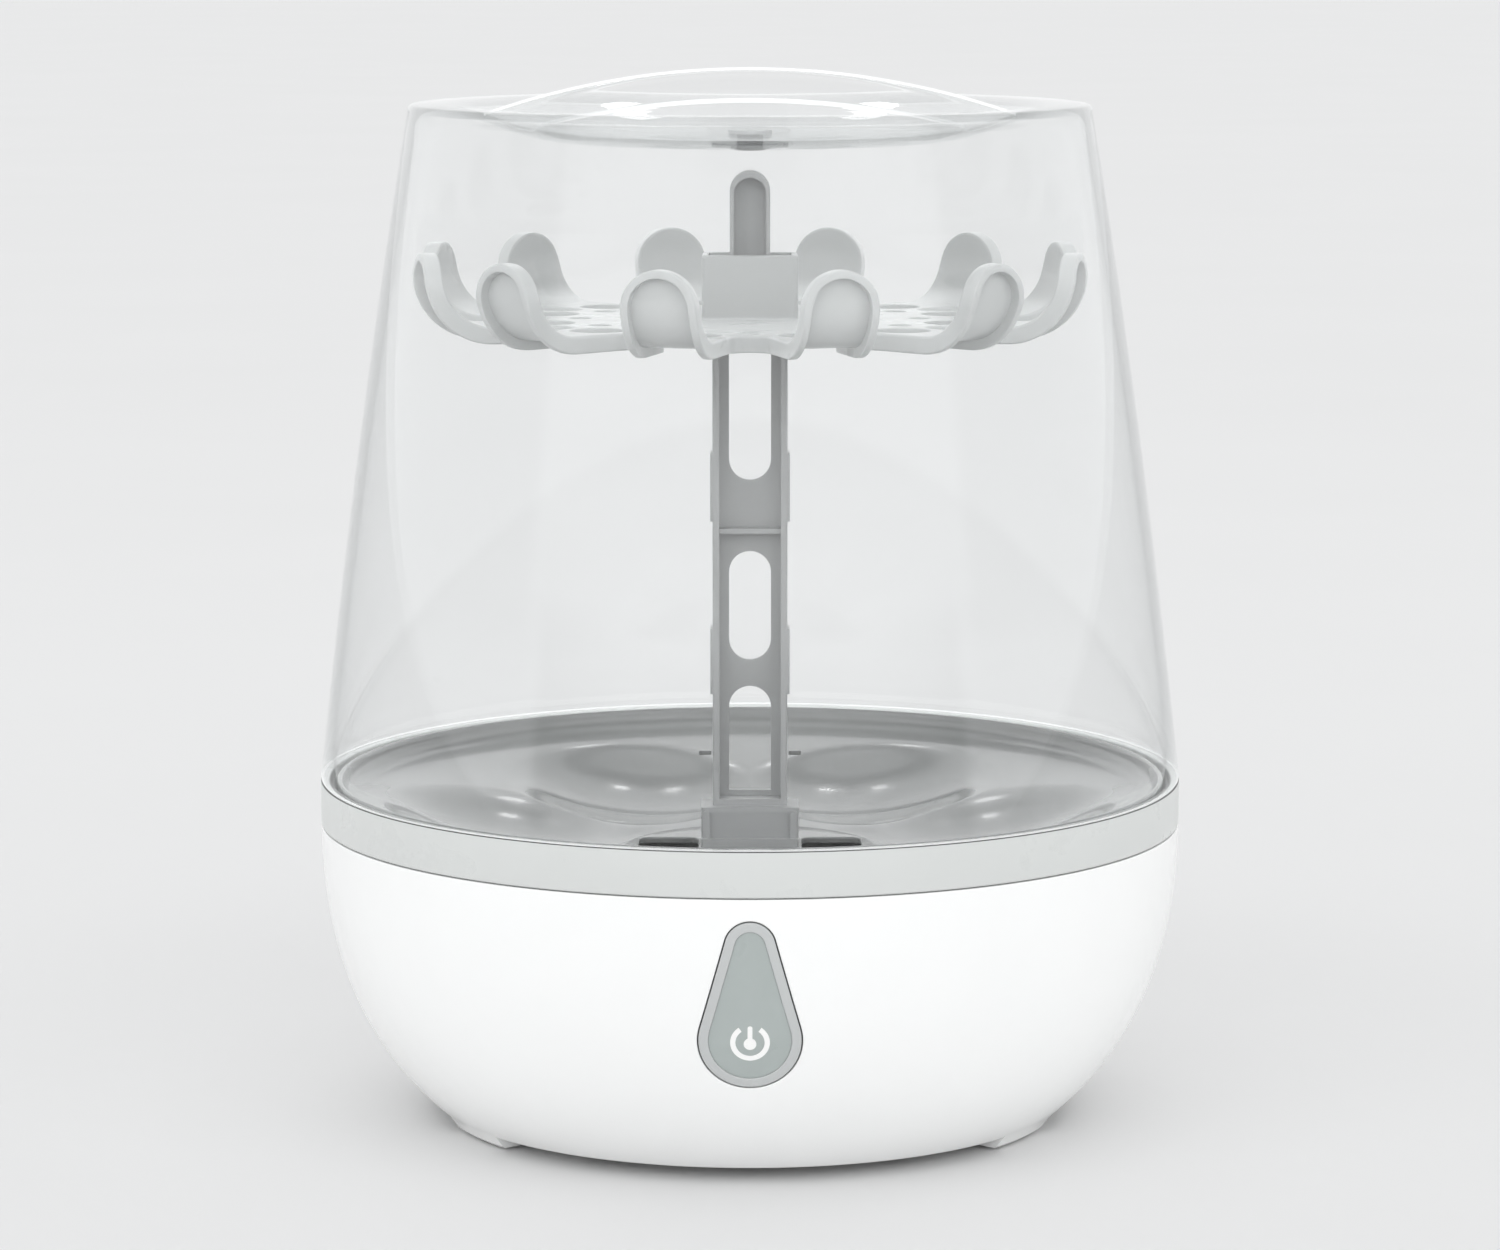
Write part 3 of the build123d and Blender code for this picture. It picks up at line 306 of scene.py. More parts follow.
def tear_frame():
    """Skeleton of the teardrop: (centre height, radius, direction of the outward normal)."""
    out = []
    n1, n2, nl = 96, 56, 14
    a0, a1 = math.pi - LEAN, 2 * math.pi + LEAN
    for k in range(n1 + 1):
        out.append((BTN_Z1, BTN_R1, a0 + (a1 - a0) * k / n1))
    for k in range(1, nl):
        t = k / nl
        out.append((BTN_Z1 + (BTN_Z2 - BTN_Z1) * t, BTN_R1 + (BTN_R2 - BTN_R1) * t, LEAN))
    for k in range(n2 + 1):
        out.append((BTN_Z2, BTN_R2, LEAN + (math.pi - 2 * LEAN) * k / n2))
    for k in range(1, nl):
        t = 1 - k / nl
        out.append((BTN_Z1 + (BTN_Z2 - BTN_Z1) * t, BTN_R1 + (BTN_R2 - BTN_R1) * t, math.pi - LEAN))
    return out


TEAR = tear_frame()


def tear(grow):
    return [((r + grow) * math.cos(a), zc + (r + grow) * math.sin(a)) for zc, r, a in TEAR]


def skin_ring(outline_at, section, side=-1):
    """Closed ring swept round an outline. Section points are (outline offset, depth under the bowl) or (offset, None, y)."""
    k = len(section)
    loops = [outline_at(p[0]) for p in section]
    n = len(loops[0])
    verts = []
    for j in range(n):
        for i, p in enumerate(section):
            x, z = loops[i][j]
            y = p[2] if p[1] is None else skin_y(x, z, p[1], side)
            verts.append((x, y, z))
    faces = []
    for j in range(n):
        j2 = (j + 1) % n
        for i in range(k):
            i2 = (i + 1) % k
            faces.append((j * k + i, j2 * k + i, j2 * k + i2, j * k + i2))
    return verts, faces


def edge_round(o_in, d_in, r, seg=5, flip=False):
    """Quarter round from the outer surface (depth d_in) to a wall at offset o_in."""
    pts = []
    for k in range(seg + 1):
        a = math.pi / 2 * k / seg
        pts.append((o_in + r * (1 - math.sin(a)) * (-1 if flip else 1), d_in + r * (1 - math.cos(a))))
    return pts


# ============================================================ materials
class Graph:
    """Small helper that writes a node material."""

    def __init__(self, name):
        self.mat = bpy.data.materials.new(name)
        self.mat.use_nodes = True
        self.nt = self.mat.node_tree
        self.nt.nodes.clear()
        self.out = self.nt.nodes.new("ShaderNodeOutputMaterial")
        self.bsdf = self.nt.nodes.new("ShaderNodeBsdfPrincipled")
        self.join(self.bsdf.outputs[0], self.out.inputs["Surface"])
        self.co = self.nt.nodes.new("ShaderNodeTexCoord").outputs["Object"]

    def join(self, a, b):
        self.nt.links.new(a, b)

    def put(self, name, value):
        s = self.bsdf.inputs[name]
        if hasattr(value, "is_output"):
            self.join(value, s)
        elif isinstance(value, (tuple, list)):
            s.default_value = tuple(value) + ((1.0,) if len(value) == 3 and len(s.default_value) == 4 else ())
        else:
            s.default_value = value

    def mapping(self, scale=(1, 1, 1), rot=(0, 0, 0), loc=(0, 0, 0)):
        m = self.nt.nodes.new("ShaderNodeMapping")
        m.inputs["Scale"].default_value = scale
        m.inputs["Rotation"].default_value = rot
        m.inputs["Location"].default_value = loc
        self.join(self.co, m.inputs["Vector"])
        return m.outputs[0]

    def noise(self, scale, detail=3.0, rough=0.55, vec=None, distortion=0.0):
        n = self.nt.nodes.new("ShaderNodeTexNoise")
        n.inputs["Scale"].default_value = scale
        n.inputs["Detail"].default_value = detail
        n.inputs["Roughness"].default_value = rough
        n.inputs["Distortion"].default_value = distortion
        self.join(vec or self.co, n.inputs["Vector"])
        return n.outputs["Fac"]

    def voronoi(self, scale, feature="F1", vec=None, out="Distance"):
        n = self.nt.nodes.new("ShaderNodeTexVoronoi")
        n.feature = feature
        n.inputs["Scale"].default_value = scale
        self.join(vec or self.co, n.inputs["Vector"])
        return n.outputs[out]

    def wave(self, scale, kind="BANDS", axis="X", distortion=0.0, detail=2.0, vec=None, rings="Z"):
        n = self.nt.nodes.new("ShaderNodeTexWave")
        n.wave_type = kind
        if kind == "BANDS":
            n.bands_direction = axis
        else:
            n.rings_direction = rings
        n.inputs["Scale"].default_value = scale
        n.inputs["Distortion"].default_value = distortion
        n.inputs["Detail"].default_value = detail
        self.join(vec or self.co, n.inputs["Vector"])
        return n.outputs["Fac"]

    def remap(self, src, lo, hi, a=0.3, b=0.7, smooth=False):
        n = self.nt.nodes.new("ShaderNodeMapRange")
        if smooth:
            n.interpolation_type = "SMOOTHSTEP"
        n.inputs["From Min"].default_value = a
        n.inputs["From Max"].default_value = b
        n.inputs["To Min"].default_value = lo
        n.inputs["To Max"].default_value = hi
        self.join(src, n.inputs["Value"])
        return n.outputs["Result"]

    def math(self, op, a, b=0.0):
        n = self.nt.nodes.new("ShaderNodeMath")
        n.operation = op
        for i, v in enumerate((a, b)):
            if hasattr(v, "is_output"):
                self.join(v, n.inputs[i])
            else:
                n.inputs[i].default_value = v
        return n.outputs[0]

    def mix(self, fac, a, b):
        n = self.nt.nodes.new("ShaderNodeMix")
        n.data_type = "RGBA"
        n.clamp_factor = True
        self.join(fac, n.inputs[0])
        for s, v in ((6, a), (7, b)):
            if hasattr(v, "is_output"):
                self.join(v, n.inputs[s])
            else:
                n.inputs[s].default_value = tuple(v) + (1.0,)
        return n.outputs[2]

    def bump(self, height, distance, strength=1.0, normal=None):
        n = self.nt.nodes.new("ShaderNodeBump")
        n.inputs["Distance"].default_value = distance
        n.inputs["Strength"].default_value = strength
        self.join(height, n.inputs["Height"])
        if normal is not None:
            self.join(normal, n.inputs["Normal"])
        return n.outputs[0]


def tone(c, k):
    return tuple(min(1.0, v * k) for v in c)


def plastic(name, colour, rough, vary=0.03, grain=0.0, peel=1.0e-6, spec=0.5, ior=1.5, flow=14.0, coat=0.0, coat_rough=0.1, scuff=0.25, sub=0.0, speck=1.0):
    """Moulded plastic: faint flow marks, orange peel, fine grain, and light handling wear in the gloss."""
    g = Graph(name)
    big = g.noise(flow, 4.0, 0.6, distortion=0.6)
    fine = g.noise(7000.0, 2.0, 0.5)
    c = g.mix(g.remap(big, 0.0, 1.0, 0.32, 0.68, True), tone(colour, 1 - vary), tone(colour, 1 + vary * 0.5))
    c = g.mix(g.remap(fine, 0.0, 0.25 * speck, 0.35, 0.75), c, tone(colour, 1 - vary * 1.5))
    g.put("Base Color", c)
    hand = g.noise(34.0, 4.0, 0.55, distortion=0.3)
    mottle = g.noise(6000.0, 2.0, 0.5)
    r = g.remap(hand, rough * (1 - scuff), rough * (1 + scuff), 0.3, 0.7)
    r = g.math("ADD", r, g.remap(mottle, 0.0, rough * scuff * 0.6 * speck, 0.45, 0.75))
    g.put("Roughness", r)
    n = g.bump(g.noise(120.0, 1.0, 0.4), peel)
    if grain > 0:
        n = g.bump(fine, grain, normal=n)
    g.put("Normal", n)
    g.put("IOR", ior)
    g.put("Specular IOR Level", spec)
    if coat:
        g.put("Coat Weight", coat)
        g.put("Coat Roughness", coat_rough)
    if sub:
        g.put("Subsurface Weight", sub)
        g.put("Subsurface Radius", (1.0, 0.9, 0.8))
        g.put("Subsurface Scale", 0.0015)
    return g.mat


def metal(name, colour, rough, kind="brushed", scale=1.0, vary=0.08):
    """Metal with drawn, turned or plated grain."""
    g = Graph(name)
    if kind == "turned":
        lines = g.wave(900.0 * scale, "RINGS", distortion=3.0, detail=4.0)
        lines2 = g.noise(420.0, 3.0, 0.6)
    elif kind == "plated":
        lines = g.voronoi(520.0 * scale, "F1")
        lines2 = g.noise(900.0, 3.0, 0.6)
    else:
        lines = g.noise(1.0, 4.0, 0.7, g.mapping((40 * scale, 2400 * scale, 2400 * scale)))
        lines2 = g.noise(300.0, 3.0, 0.6)
    blotch = g.noise(60.0, 4.0, 0.6, distortion=0.8)
    c = g.mix(g.remap(blotch, 0.0, 1.0), tone(colour, 1 - vary), tone(colour, 1 + vary * 0.4))
    c = g.mix(g.remap(lines, 0.0, 0.4, 0.35, 0.75), c, tone(colour, 0.72))
    g.put("Base Color", c)
    g.put("Metallic", 1.0)
    g.put("Roughness", g.math("ADD", g.remap(lines2, rough * 0.75, rough * 1.2), g.remap(lines, 0.0, rough * 0.35, 0.4, 0.8)))
    g.put("Normal", g.bump(lines, 6e-6, 0.8))
    return g.mat


def rubber(name, colour, rough=0.62, vary=0.06):
    g = Graph(name)
    dust = g.noise(140.0, 5.0, 0.7)
    fine = g.noise(1900.0, 3.0, 0.6)
    c = g.mix(g.remap(dust, 0.0, 1.0), tone(colour, 1 - vary), tone(colour, 1 + vary * 0.6))
    g.put("Base Color", g.mix(g.remap(fine, 0.0, 0.4, 0.45, 0.8), c, tone(colour, 0.8)))
    g.put("Roughness", g.remap(dust, rough * 0.88, rough * 1.12))
    g.put("Normal", g.bump(fine, 1.2e-5, 0.7))
    g.put("Specular IOR Level", 0.35)
    return g.mat


def clear(name, tint, rough, density, absorb, ior=1.47, lamps=0.93, coat=0.0):
    """Clear moulded plastic. Lamps shine through it, and thick parts darken a little."""
    g = Graph(name)
    smear = g.noise(22.0, 5.0, 0.7, distortion=1.5)
    streak = g.noise(1.0, 3.0, 0.6, g.mapping((14, 14, 160)))
    g.put("Base Color", g.mix(g.remap(smear, 0.0, 1.0), tone(tint, 0.992), tint))
    g.put("Roughness", g.math("ADD", g.remap(smear, rough * 0.5, rough * 1.6, 0.35, 0.75), g.remap(streak, 0.0, rough * 0.8, 0.55, 0.8)))
    g.put("Transmission Weight", 1.0)
    g.put("IOR", ior)
    if coat:
        g.put("Coat Weight", coat)
        g.put("Coat Roughness", 0.02)
    n = g.bump(g.noise(90.0, 2.0, 0.4), 2.0e-6)
    g.put("Normal", n)
    path = g.nt.nodes.new("ShaderNodeLightPath")
    through = g.nt.nodes.new("ShaderNodeBsdfTransparent")
    through.inputs["Color"].default_value = (lamps, lamps, lamps, 1.0)
    mix = g.nt.nodes.new("ShaderNodeMixShader")
    g.join(path.outputs["Is Shadow Ray"], mix.inputs[0])
    g.join(g.bsdf.outputs[0], mix.inputs[1])
    g.join(through.outputs[0], mix.inputs[2])
    g.join(mix.outputs[0], g.out.inputs["Surface"])
    if density > 0:
        vol = g.nt.nodes.new("ShaderNodeVolumeAbsorption")
        vol.inputs["Color"].default_value = tuple(absorb) + (1.0,)
        vol.inputs["Density"].default_value = density
        g.join(vol.outputs[0], g.out.inputs["Volume"])
    return g.mat


def laminate(name):
    """Circuit board: solder mask over faint copper runs, with bare pads."""
    g = Graph(name)
    runs = g.nt.nodes.new("ShaderNodeTexBrick")
    runs.inputs["Scale"].default_value = 260.0
    runs.inputs["Mortar Size"].default_value = 0.06
    runs.inputs["Mortar Smooth"].default_value = 0.2
    runs.inputs["Color1"].default_value = (0.0, 0.0, 0.0, 1)
    runs.inputs["Color2"].default_value = (0.15, 0.15, 0.15, 1)
    runs.inputs["Mortar"].default_value = (1, 1, 1, 1)
    g.join(g.mapping((1, 1, 1), (0.0, 0.0, 0.4)), runs.inputs["Vector"])
    pads = g.voronoi(210.0, "F1")
    base = g.mix(runs.outputs["Fac"], (0.018, 0.11, 0.05), (0.035, 0.20, 0.09))
    base = g.mix(g.remap(pads, 1.0, 0.0, 0.10, 0.14), base, (0.62, 0.60, 0.52))
    g.put("Base Color", base)
    g.put("Roughness", g.remap(g.noise(90.0), 0.22, 0.42))
    g.put("Normal", g.bump(runs.outputs["Fac"], 2.0e-5, 0.6))
    g.put("Coat Weight", 0.4)
    g.put("Coat Roughness", 0.15)
    return g.mat


MAT = {
    "white_plastic": plastic("white_plastic", (0.915, 0.92, 0.915), 0.2, 0.012, 0.0, 1.2e-6, coat=0.25, coat_rough=0.06, sub=0.0),
    "band_plastic": plastic("band_plastic", (0.635, 0.651, 0.641), 0.3, 0.02, 5e-7, 1.2e-6),
    "rack_plastic": plastic("rack_plastic", (0.20, 0.206, 0.204), 0.15, 0.04, 0.0, 6e-7, coat=0.35, coat_rough=0.05, flow=20.0, speck=0.25),
    "tray_plastic": plastic("tray_plastic", (0.46, 0.471, 0.469), 0.3, 0.03, 1e-6, 1.5e-6, flow=26.0),
    "mast_plastic": plastic("mast_plastic", (0.30, 0.306, 0.307), 0.34, 0.04, 1.2e-6, 1.5e-6, flow=24.0),
    "button_plastic": plastic("button_plastic", (0.52, 0.535, 0.535), 0.24, 0.02, 4e-7, 1e-6),
    "panel_plastic": plastic("panel_plastic", (0.40, 0.44, 0.43), 0.34, 0.03, 1.4e-6, 1e-6, flow=60.0),
    "mark_plastic": plastic("mark_plastic", (0.92, 0.92, 0.91), 0.3, 0.01, 4e-7, 1e-6),
    "guide_plastic": clear("guide_plastic", (0.97, 0.98, 0.98), 0.06, 20.0, (0.9, 0.93, 0.93)),
    "plunger_plastic": plastic("plunger_plastic", (0.03, 0.03, 0.032), 0.35, 0.1, 1e-6),
    "basin_plastic": plastic("basin_plastic", (0.78, 0.785, 0.78), 0.24, 0.02, 0.0, 1.4e-6),
    "plate_steel": metal("plate_steel", (0.66, 0.655, 0.64), 0.24, "turned"),
    "gasket_rubber": rubber("gasket_rubber", (0.58, 0.59, 0.60), 0.5),
    "zinc_steel": metal("zinc_steel", (0.60, 0.61, 0.62), 0.34, "plated"),
    "screw_steel": metal("screw_steel", (0.56, 0.56, 0.57), 0.3, "plated", 1.6),
    "element_steel": metal("element_steel", (0.27, 0.26, 0.25), 0.42, "plated", 0.8, 0.2),
    "tab_brass": metal("tab_brass", (0.72, 0.55, 0.26), 0.3, "brushed", 1.5),
    "thermostat_body": plastic("thermostat_body", (0.035, 0.03, 0.027), 0.4, 0.15, 2e-6),
    "fuse_metal": metal("fuse_metal", (0.68, 0.69, 0.70), 0.25, "brushed", 2.0),
    "spring_steel": metal("spring_steel", (0.55, 0.56, 0.57), 0.28, "brushed", 1.2),
    "cover_plastic": plastic("cover_plastic", (0.62, 0.62, 0.61), 0.48, 0.03, 6e-6, 2e-6),
    "foot_rubber": rubber("foot_rubber", (0.52, 0.52, 0.51)),
    "board_laminate": laminate("board_laminate"),
    "switch_body": plastic("switch_body", (0.03, 0.03, 0.033), 0.42, 0.12, 2e-6),
    "led_resin": clear("led_resin", (0.98, 0.97, 0.90), 0.03, 60.0, (0.95, 0.93, 0.8)),
    "relay_body": plastic("relay_body", (0.02, 0.06, 0.17), 0.36, 0.1, 2e-6),
    "capacitor_body": plastic("capacitor_body", (0.62, 0.38, 0.03), 0.3, 0.06, 1e-6),
    "terminal_body": plastic("terminal_body", (0.03, 0.17, 0.06), 0.4, 0.08, 2e-6),
    "lead_rubber": rubber("lead_rubber", (0.60, 0.57, 0.50), 0.5),
    "cable_rubber": rubber("cable_rubber", (0.66, 0.66, 0.66), 0.45),
    "gland_plastic": plastic("gland_plastic", (0.66, 0.66, 0.65), 0.4, 0.03, 2e-6),
    "nut_plastic": plastic("nut_plastic", (0.66, 0.66, 0.65), 0.4, 0.03, 2e-6),
    "vent_silicone": plastic("vent_silicone", (0.66, 0.67, 0.67), 0.45, 0.04, 2e-6),
    "clear_plastic": clear("clear_plastic", (0.992, 0.996, 0.996), 0.012, 24.0, (0.735, 0.745, 0.745), 1.0, 0.985, 0.6),
    "clear_plastic_grip": clear("clear_plastic_grip", (0.995, 0.998, 0.998), 0.02, 12.0, (0.70, 0.71, 0.71), 1.06, 0.985, 0.35),
}



def shade_seat(mat, z, colour, above=True, outside=0.0):
    """Another tone above or below a height. On the band it is a painted contact shadow along the top outer edge where
    the lid sits; on the vent the silicone is darker below a height.
    """
    nt = mat.node_tree
    bsdf = next(n for n in nt.nodes if n.type == "BSDF_PRINCIPLED")
    was = bsdf.inputs["Base Color"].links[0].from_socket
    split = nt.nodes.new("ShaderNodeSeparateXYZ")
    nt.links.new(nt.nodes.new("ShaderNodeTexCoord").outputs["Object"], split.inputs[0])
    ramp = nt.nodes.new("ShaderNodeMapRange")
    ramp.inputs["From Min"].default_value = (z - 0.08) * MM
    ramp.inputs["From Max"].default_value = (z + 0.02) * MM
    if not above:
        ramp.inputs["To Min"].default_value, ramp.inputs["To Max"].default_value = 1.0, 0.0
    nt.links.new(split.outputs[2], ramp.inputs["Value"])
    mask = ramp.outputs["Result"]
    if outside:
        flat = nt.nodes.new("ShaderNodeVectorMath")
        flat.operation = "MULTIPLY"
        flat.inputs[1].default_value = (1.0, 1.0, 0.0)
        nt.links.new(nt.nodes.new("ShaderNodeTexCoord").outputs["Object"], flat.inputs[0])
        far = nt.nodes.new("ShaderNodeVectorMath")
        far.operation = "LENGTH"
        nt.links.new(flat.outputs[0], far.inputs[0])
        edge = nt.nodes.new("ShaderNodeMapRange")
        edge.inputs["From Min"].default_value = (outside - 0.05) * MM
        edge.inputs["From Max"].default_value = (outside + 0.05) * MM
        nt.links.new(far.outputs["Value"], edge.inputs["Value"])
        both = nt.nodes.new("ShaderNodeMath")
        both.operation = "MULTIPLY"
        nt.links.new(mask, both.inputs[0])
        nt.links.new(edge.outputs["Result"], both.inputs[1])
        mask = both.outputs[0]
    mix = nt.nodes.new("ShaderNodeMix")
    mix.data_type = "RGBA"
    nt.links.new(mask, mix.inputs[0])
    nt.links.new(was, mix.inputs[6])
    mix.inputs[7].default_value = tuple(colour) + (1.0,)
    nt.links.new(mix.outputs[2], bsdf.inputs["Base Color"])


def painted_inner_shade(mat, share):
    """Painted shade: the inner faces of the petals, and the socket, are darkened in the base colour to stand in for the
    shade inside the tray.
    """
    nt = mat.node_tree
    bsdf = next(n for n in nt.nodes if n.type == "BSDF_PRINCIPLED")
    was = bsdf.inputs["Base Color"].links[0].from_socket
    place = nt.nodes.new("ShaderNodeTexCoord")

    def calc(op, a, b=0.0):
        n = nt.nodes.new("ShaderNodeMath")
        n.operation = op
        for i, v in enumerate((a, b)):
            if hasattr(v, "is_output"):
                nt.links.new(v, n.inputs[i])
            else:
                n.inputs[i].default_value = v
        return n.outputs[0]

    def ramp(v, a, b):
        n = nt.nodes.new("ShaderNodeMapRange")
        n.interpolation_type = "SMOOTHSTEP"
        n.inputs["From Min"].default_value = a
        n.inputs["From Max"].default_value = b
        nt.links.new(v, n.inputs["Value"])
        return n.outputs["Result"]

    at = nt.nodes.new("ShaderNodeSeparateXYZ")
    nt.links.new(place.outputs["Object"], at.inputs[0])
    facing = nt.nodes.new("ShaderNodeSeparateXYZ")
    nt.links.new(place.outputs["Normal"], facing.inputs[0])
    radius = calc("SQRT", calc("ADD", calc("ADD", calc("MULTIPLY", at.outputs[0], at.outputs[0]), calc("MULTIPLY", at.outputs[1], at.outputs[1])), 1e-9))
    out = calc("DIVIDE", calc("ADD", calc("MULTIPLY", at.outputs[0], facing.outputs[0]), calc("MULTIPLY", at.outputs[1], facing.outputs[1])), radius)
    inner = calc("MULTIPLY", calc("MULTIPLY", ramp(calc("MULTIPLY", out, -1.0), 0.15, 0.7), ramp(at.outputs[2], 0.2425, 0.247)), ramp(radius, 0.06, 0.07))
    socket = calc("MULTIPLY", calc("SUBTRACT", 1.0, ramp(radius, 0.0175, 0.019)), ramp(at.outputs[2], 0.2413, 0.2425))
    mask = calc("MULTIPLY", calc("MINIMUM", calc("ADD", inner, socket), 1.0), share)
    mix = nt.nodes.new("ShaderNodeMix")
    mix.data_type = "RGBA"
    nt.links.new(mask, mix.inputs[0])
    nt.links.new(was, mix.inputs[6])
    # near-black mixed into the base colour: painted shade
    mix.inputs[7].default_value = (0.0, 0.002, 0.002, 1.0)
    nt.links.new(mix.outputs[2], bsdf.inputs["Base Color"])


# painted shade on the tray's inner faces and socket
painted_inner_shade(MAT["tray_plastic"], 0.24)
# painted shadow: the band's top outer edge is darkened for the shade in the gap under the lid
shade_seat(MAT["band_plastic"], 102.76, (0.05, 0.052, 0.052), outside=129.5)
# the vent silicone is darker below 294.5 mm
shade_seat(MAT["vent_silicone"], 294.5, (0.17, 0.174, 0.176), above=False)

def painted_edge_highlight(mat, centre_z, keep_r, lo, hi, low_band=None, share=0.9):
    """Painted highlight on a clear part: along the top of an arc in XZ, or round a low edge, the plastic turns partly
    opaque and rougher so its pale base colour shows as a bright line.
    """
    nt = mat.node_tree
    bsdf = next(n for n in nt.nodes if n.type == "BSDF_PRINCIPLED")

    def calc(op, a, b=0.0):
        n = nt.nodes.new("ShaderNodeMath")
        n.operation = op
        for i, v in enumerate((a, b)):
            if hasattr(v, "is_output"):
                nt.links.new(v, n.inputs[i])
            else:
                n.inputs[i].default_value = v
        return n.outputs[0]

    def ramp(v, a, b):
        n = nt.nodes.new("ShaderNodeMapRange")
        n.interpolation_type = "SMOOTHSTEP"
        n.inputs["From Min"].default_value = a * MM
        n.inputs["From Max"].default_value = b * MM
        nt.links.new(v, n.inputs["Value"])
        return n.outputs["Result"]

    split = nt.nodes.new("ShaderNodeSeparateXYZ")
    nt.links.new(nt.nodes.new("ShaderNodeTexCoord").outputs["Object"], split.inputs[0])
    x, y, z = split.outputs
    if low_band is None:
        up = calc("SUBTRACT", z, centre_z * MM)
        mask = ramp(calc("SQRT", calc("ADD", calc("MULTIPLY", x, x), calc("MULTIPLY", up, up))), lo, hi)
    else:
        out = ramp(calc("SQRT", calc("ADD", calc("MULTIPLY", x, x), calc("MULTIPLY", y, y))), keep_r, keep_r + 0.3)
        mask = calc("MULTIPLY", out, calc("SUBTRACT", 1.0, ramp(z, lo, hi)))
    clear_share = calc("SUBTRACT", 1.0, calc("MULTIPLY", mask, share))
    nt.links.new(clear_share, bsdf.inputs["Transmission Weight"])
    was = bsdf.inputs["Roughness"].links[0].from_socket
    nt.links.new(calc("ADD", was, calc("MULTIPLY", mask, 0.4)), bsdf.inputs["Roughness"])


# painted highlight: a bright line along the top edge of the grip
painted_edge_highlight(MAT["clear_plastic_grip"], 76.1, 0.0, 239.0, 239.4)
# painted highlight: a bright line round the bottom edge of the lid
painted_edge_highlight(MAT["clear_plastic"], 0.0, 129.0, 103.5, 103.7, low_band=True, share=0.7)

for entry in frame["record"]["subparts"]:
    ob = NODES[entry["node"]]
    m = MAT[entry["material_slot"]]
    if not ob.material_slots:
        ob.data.materials.append(m)
    for s in ob.material_slots:
        s.material = m


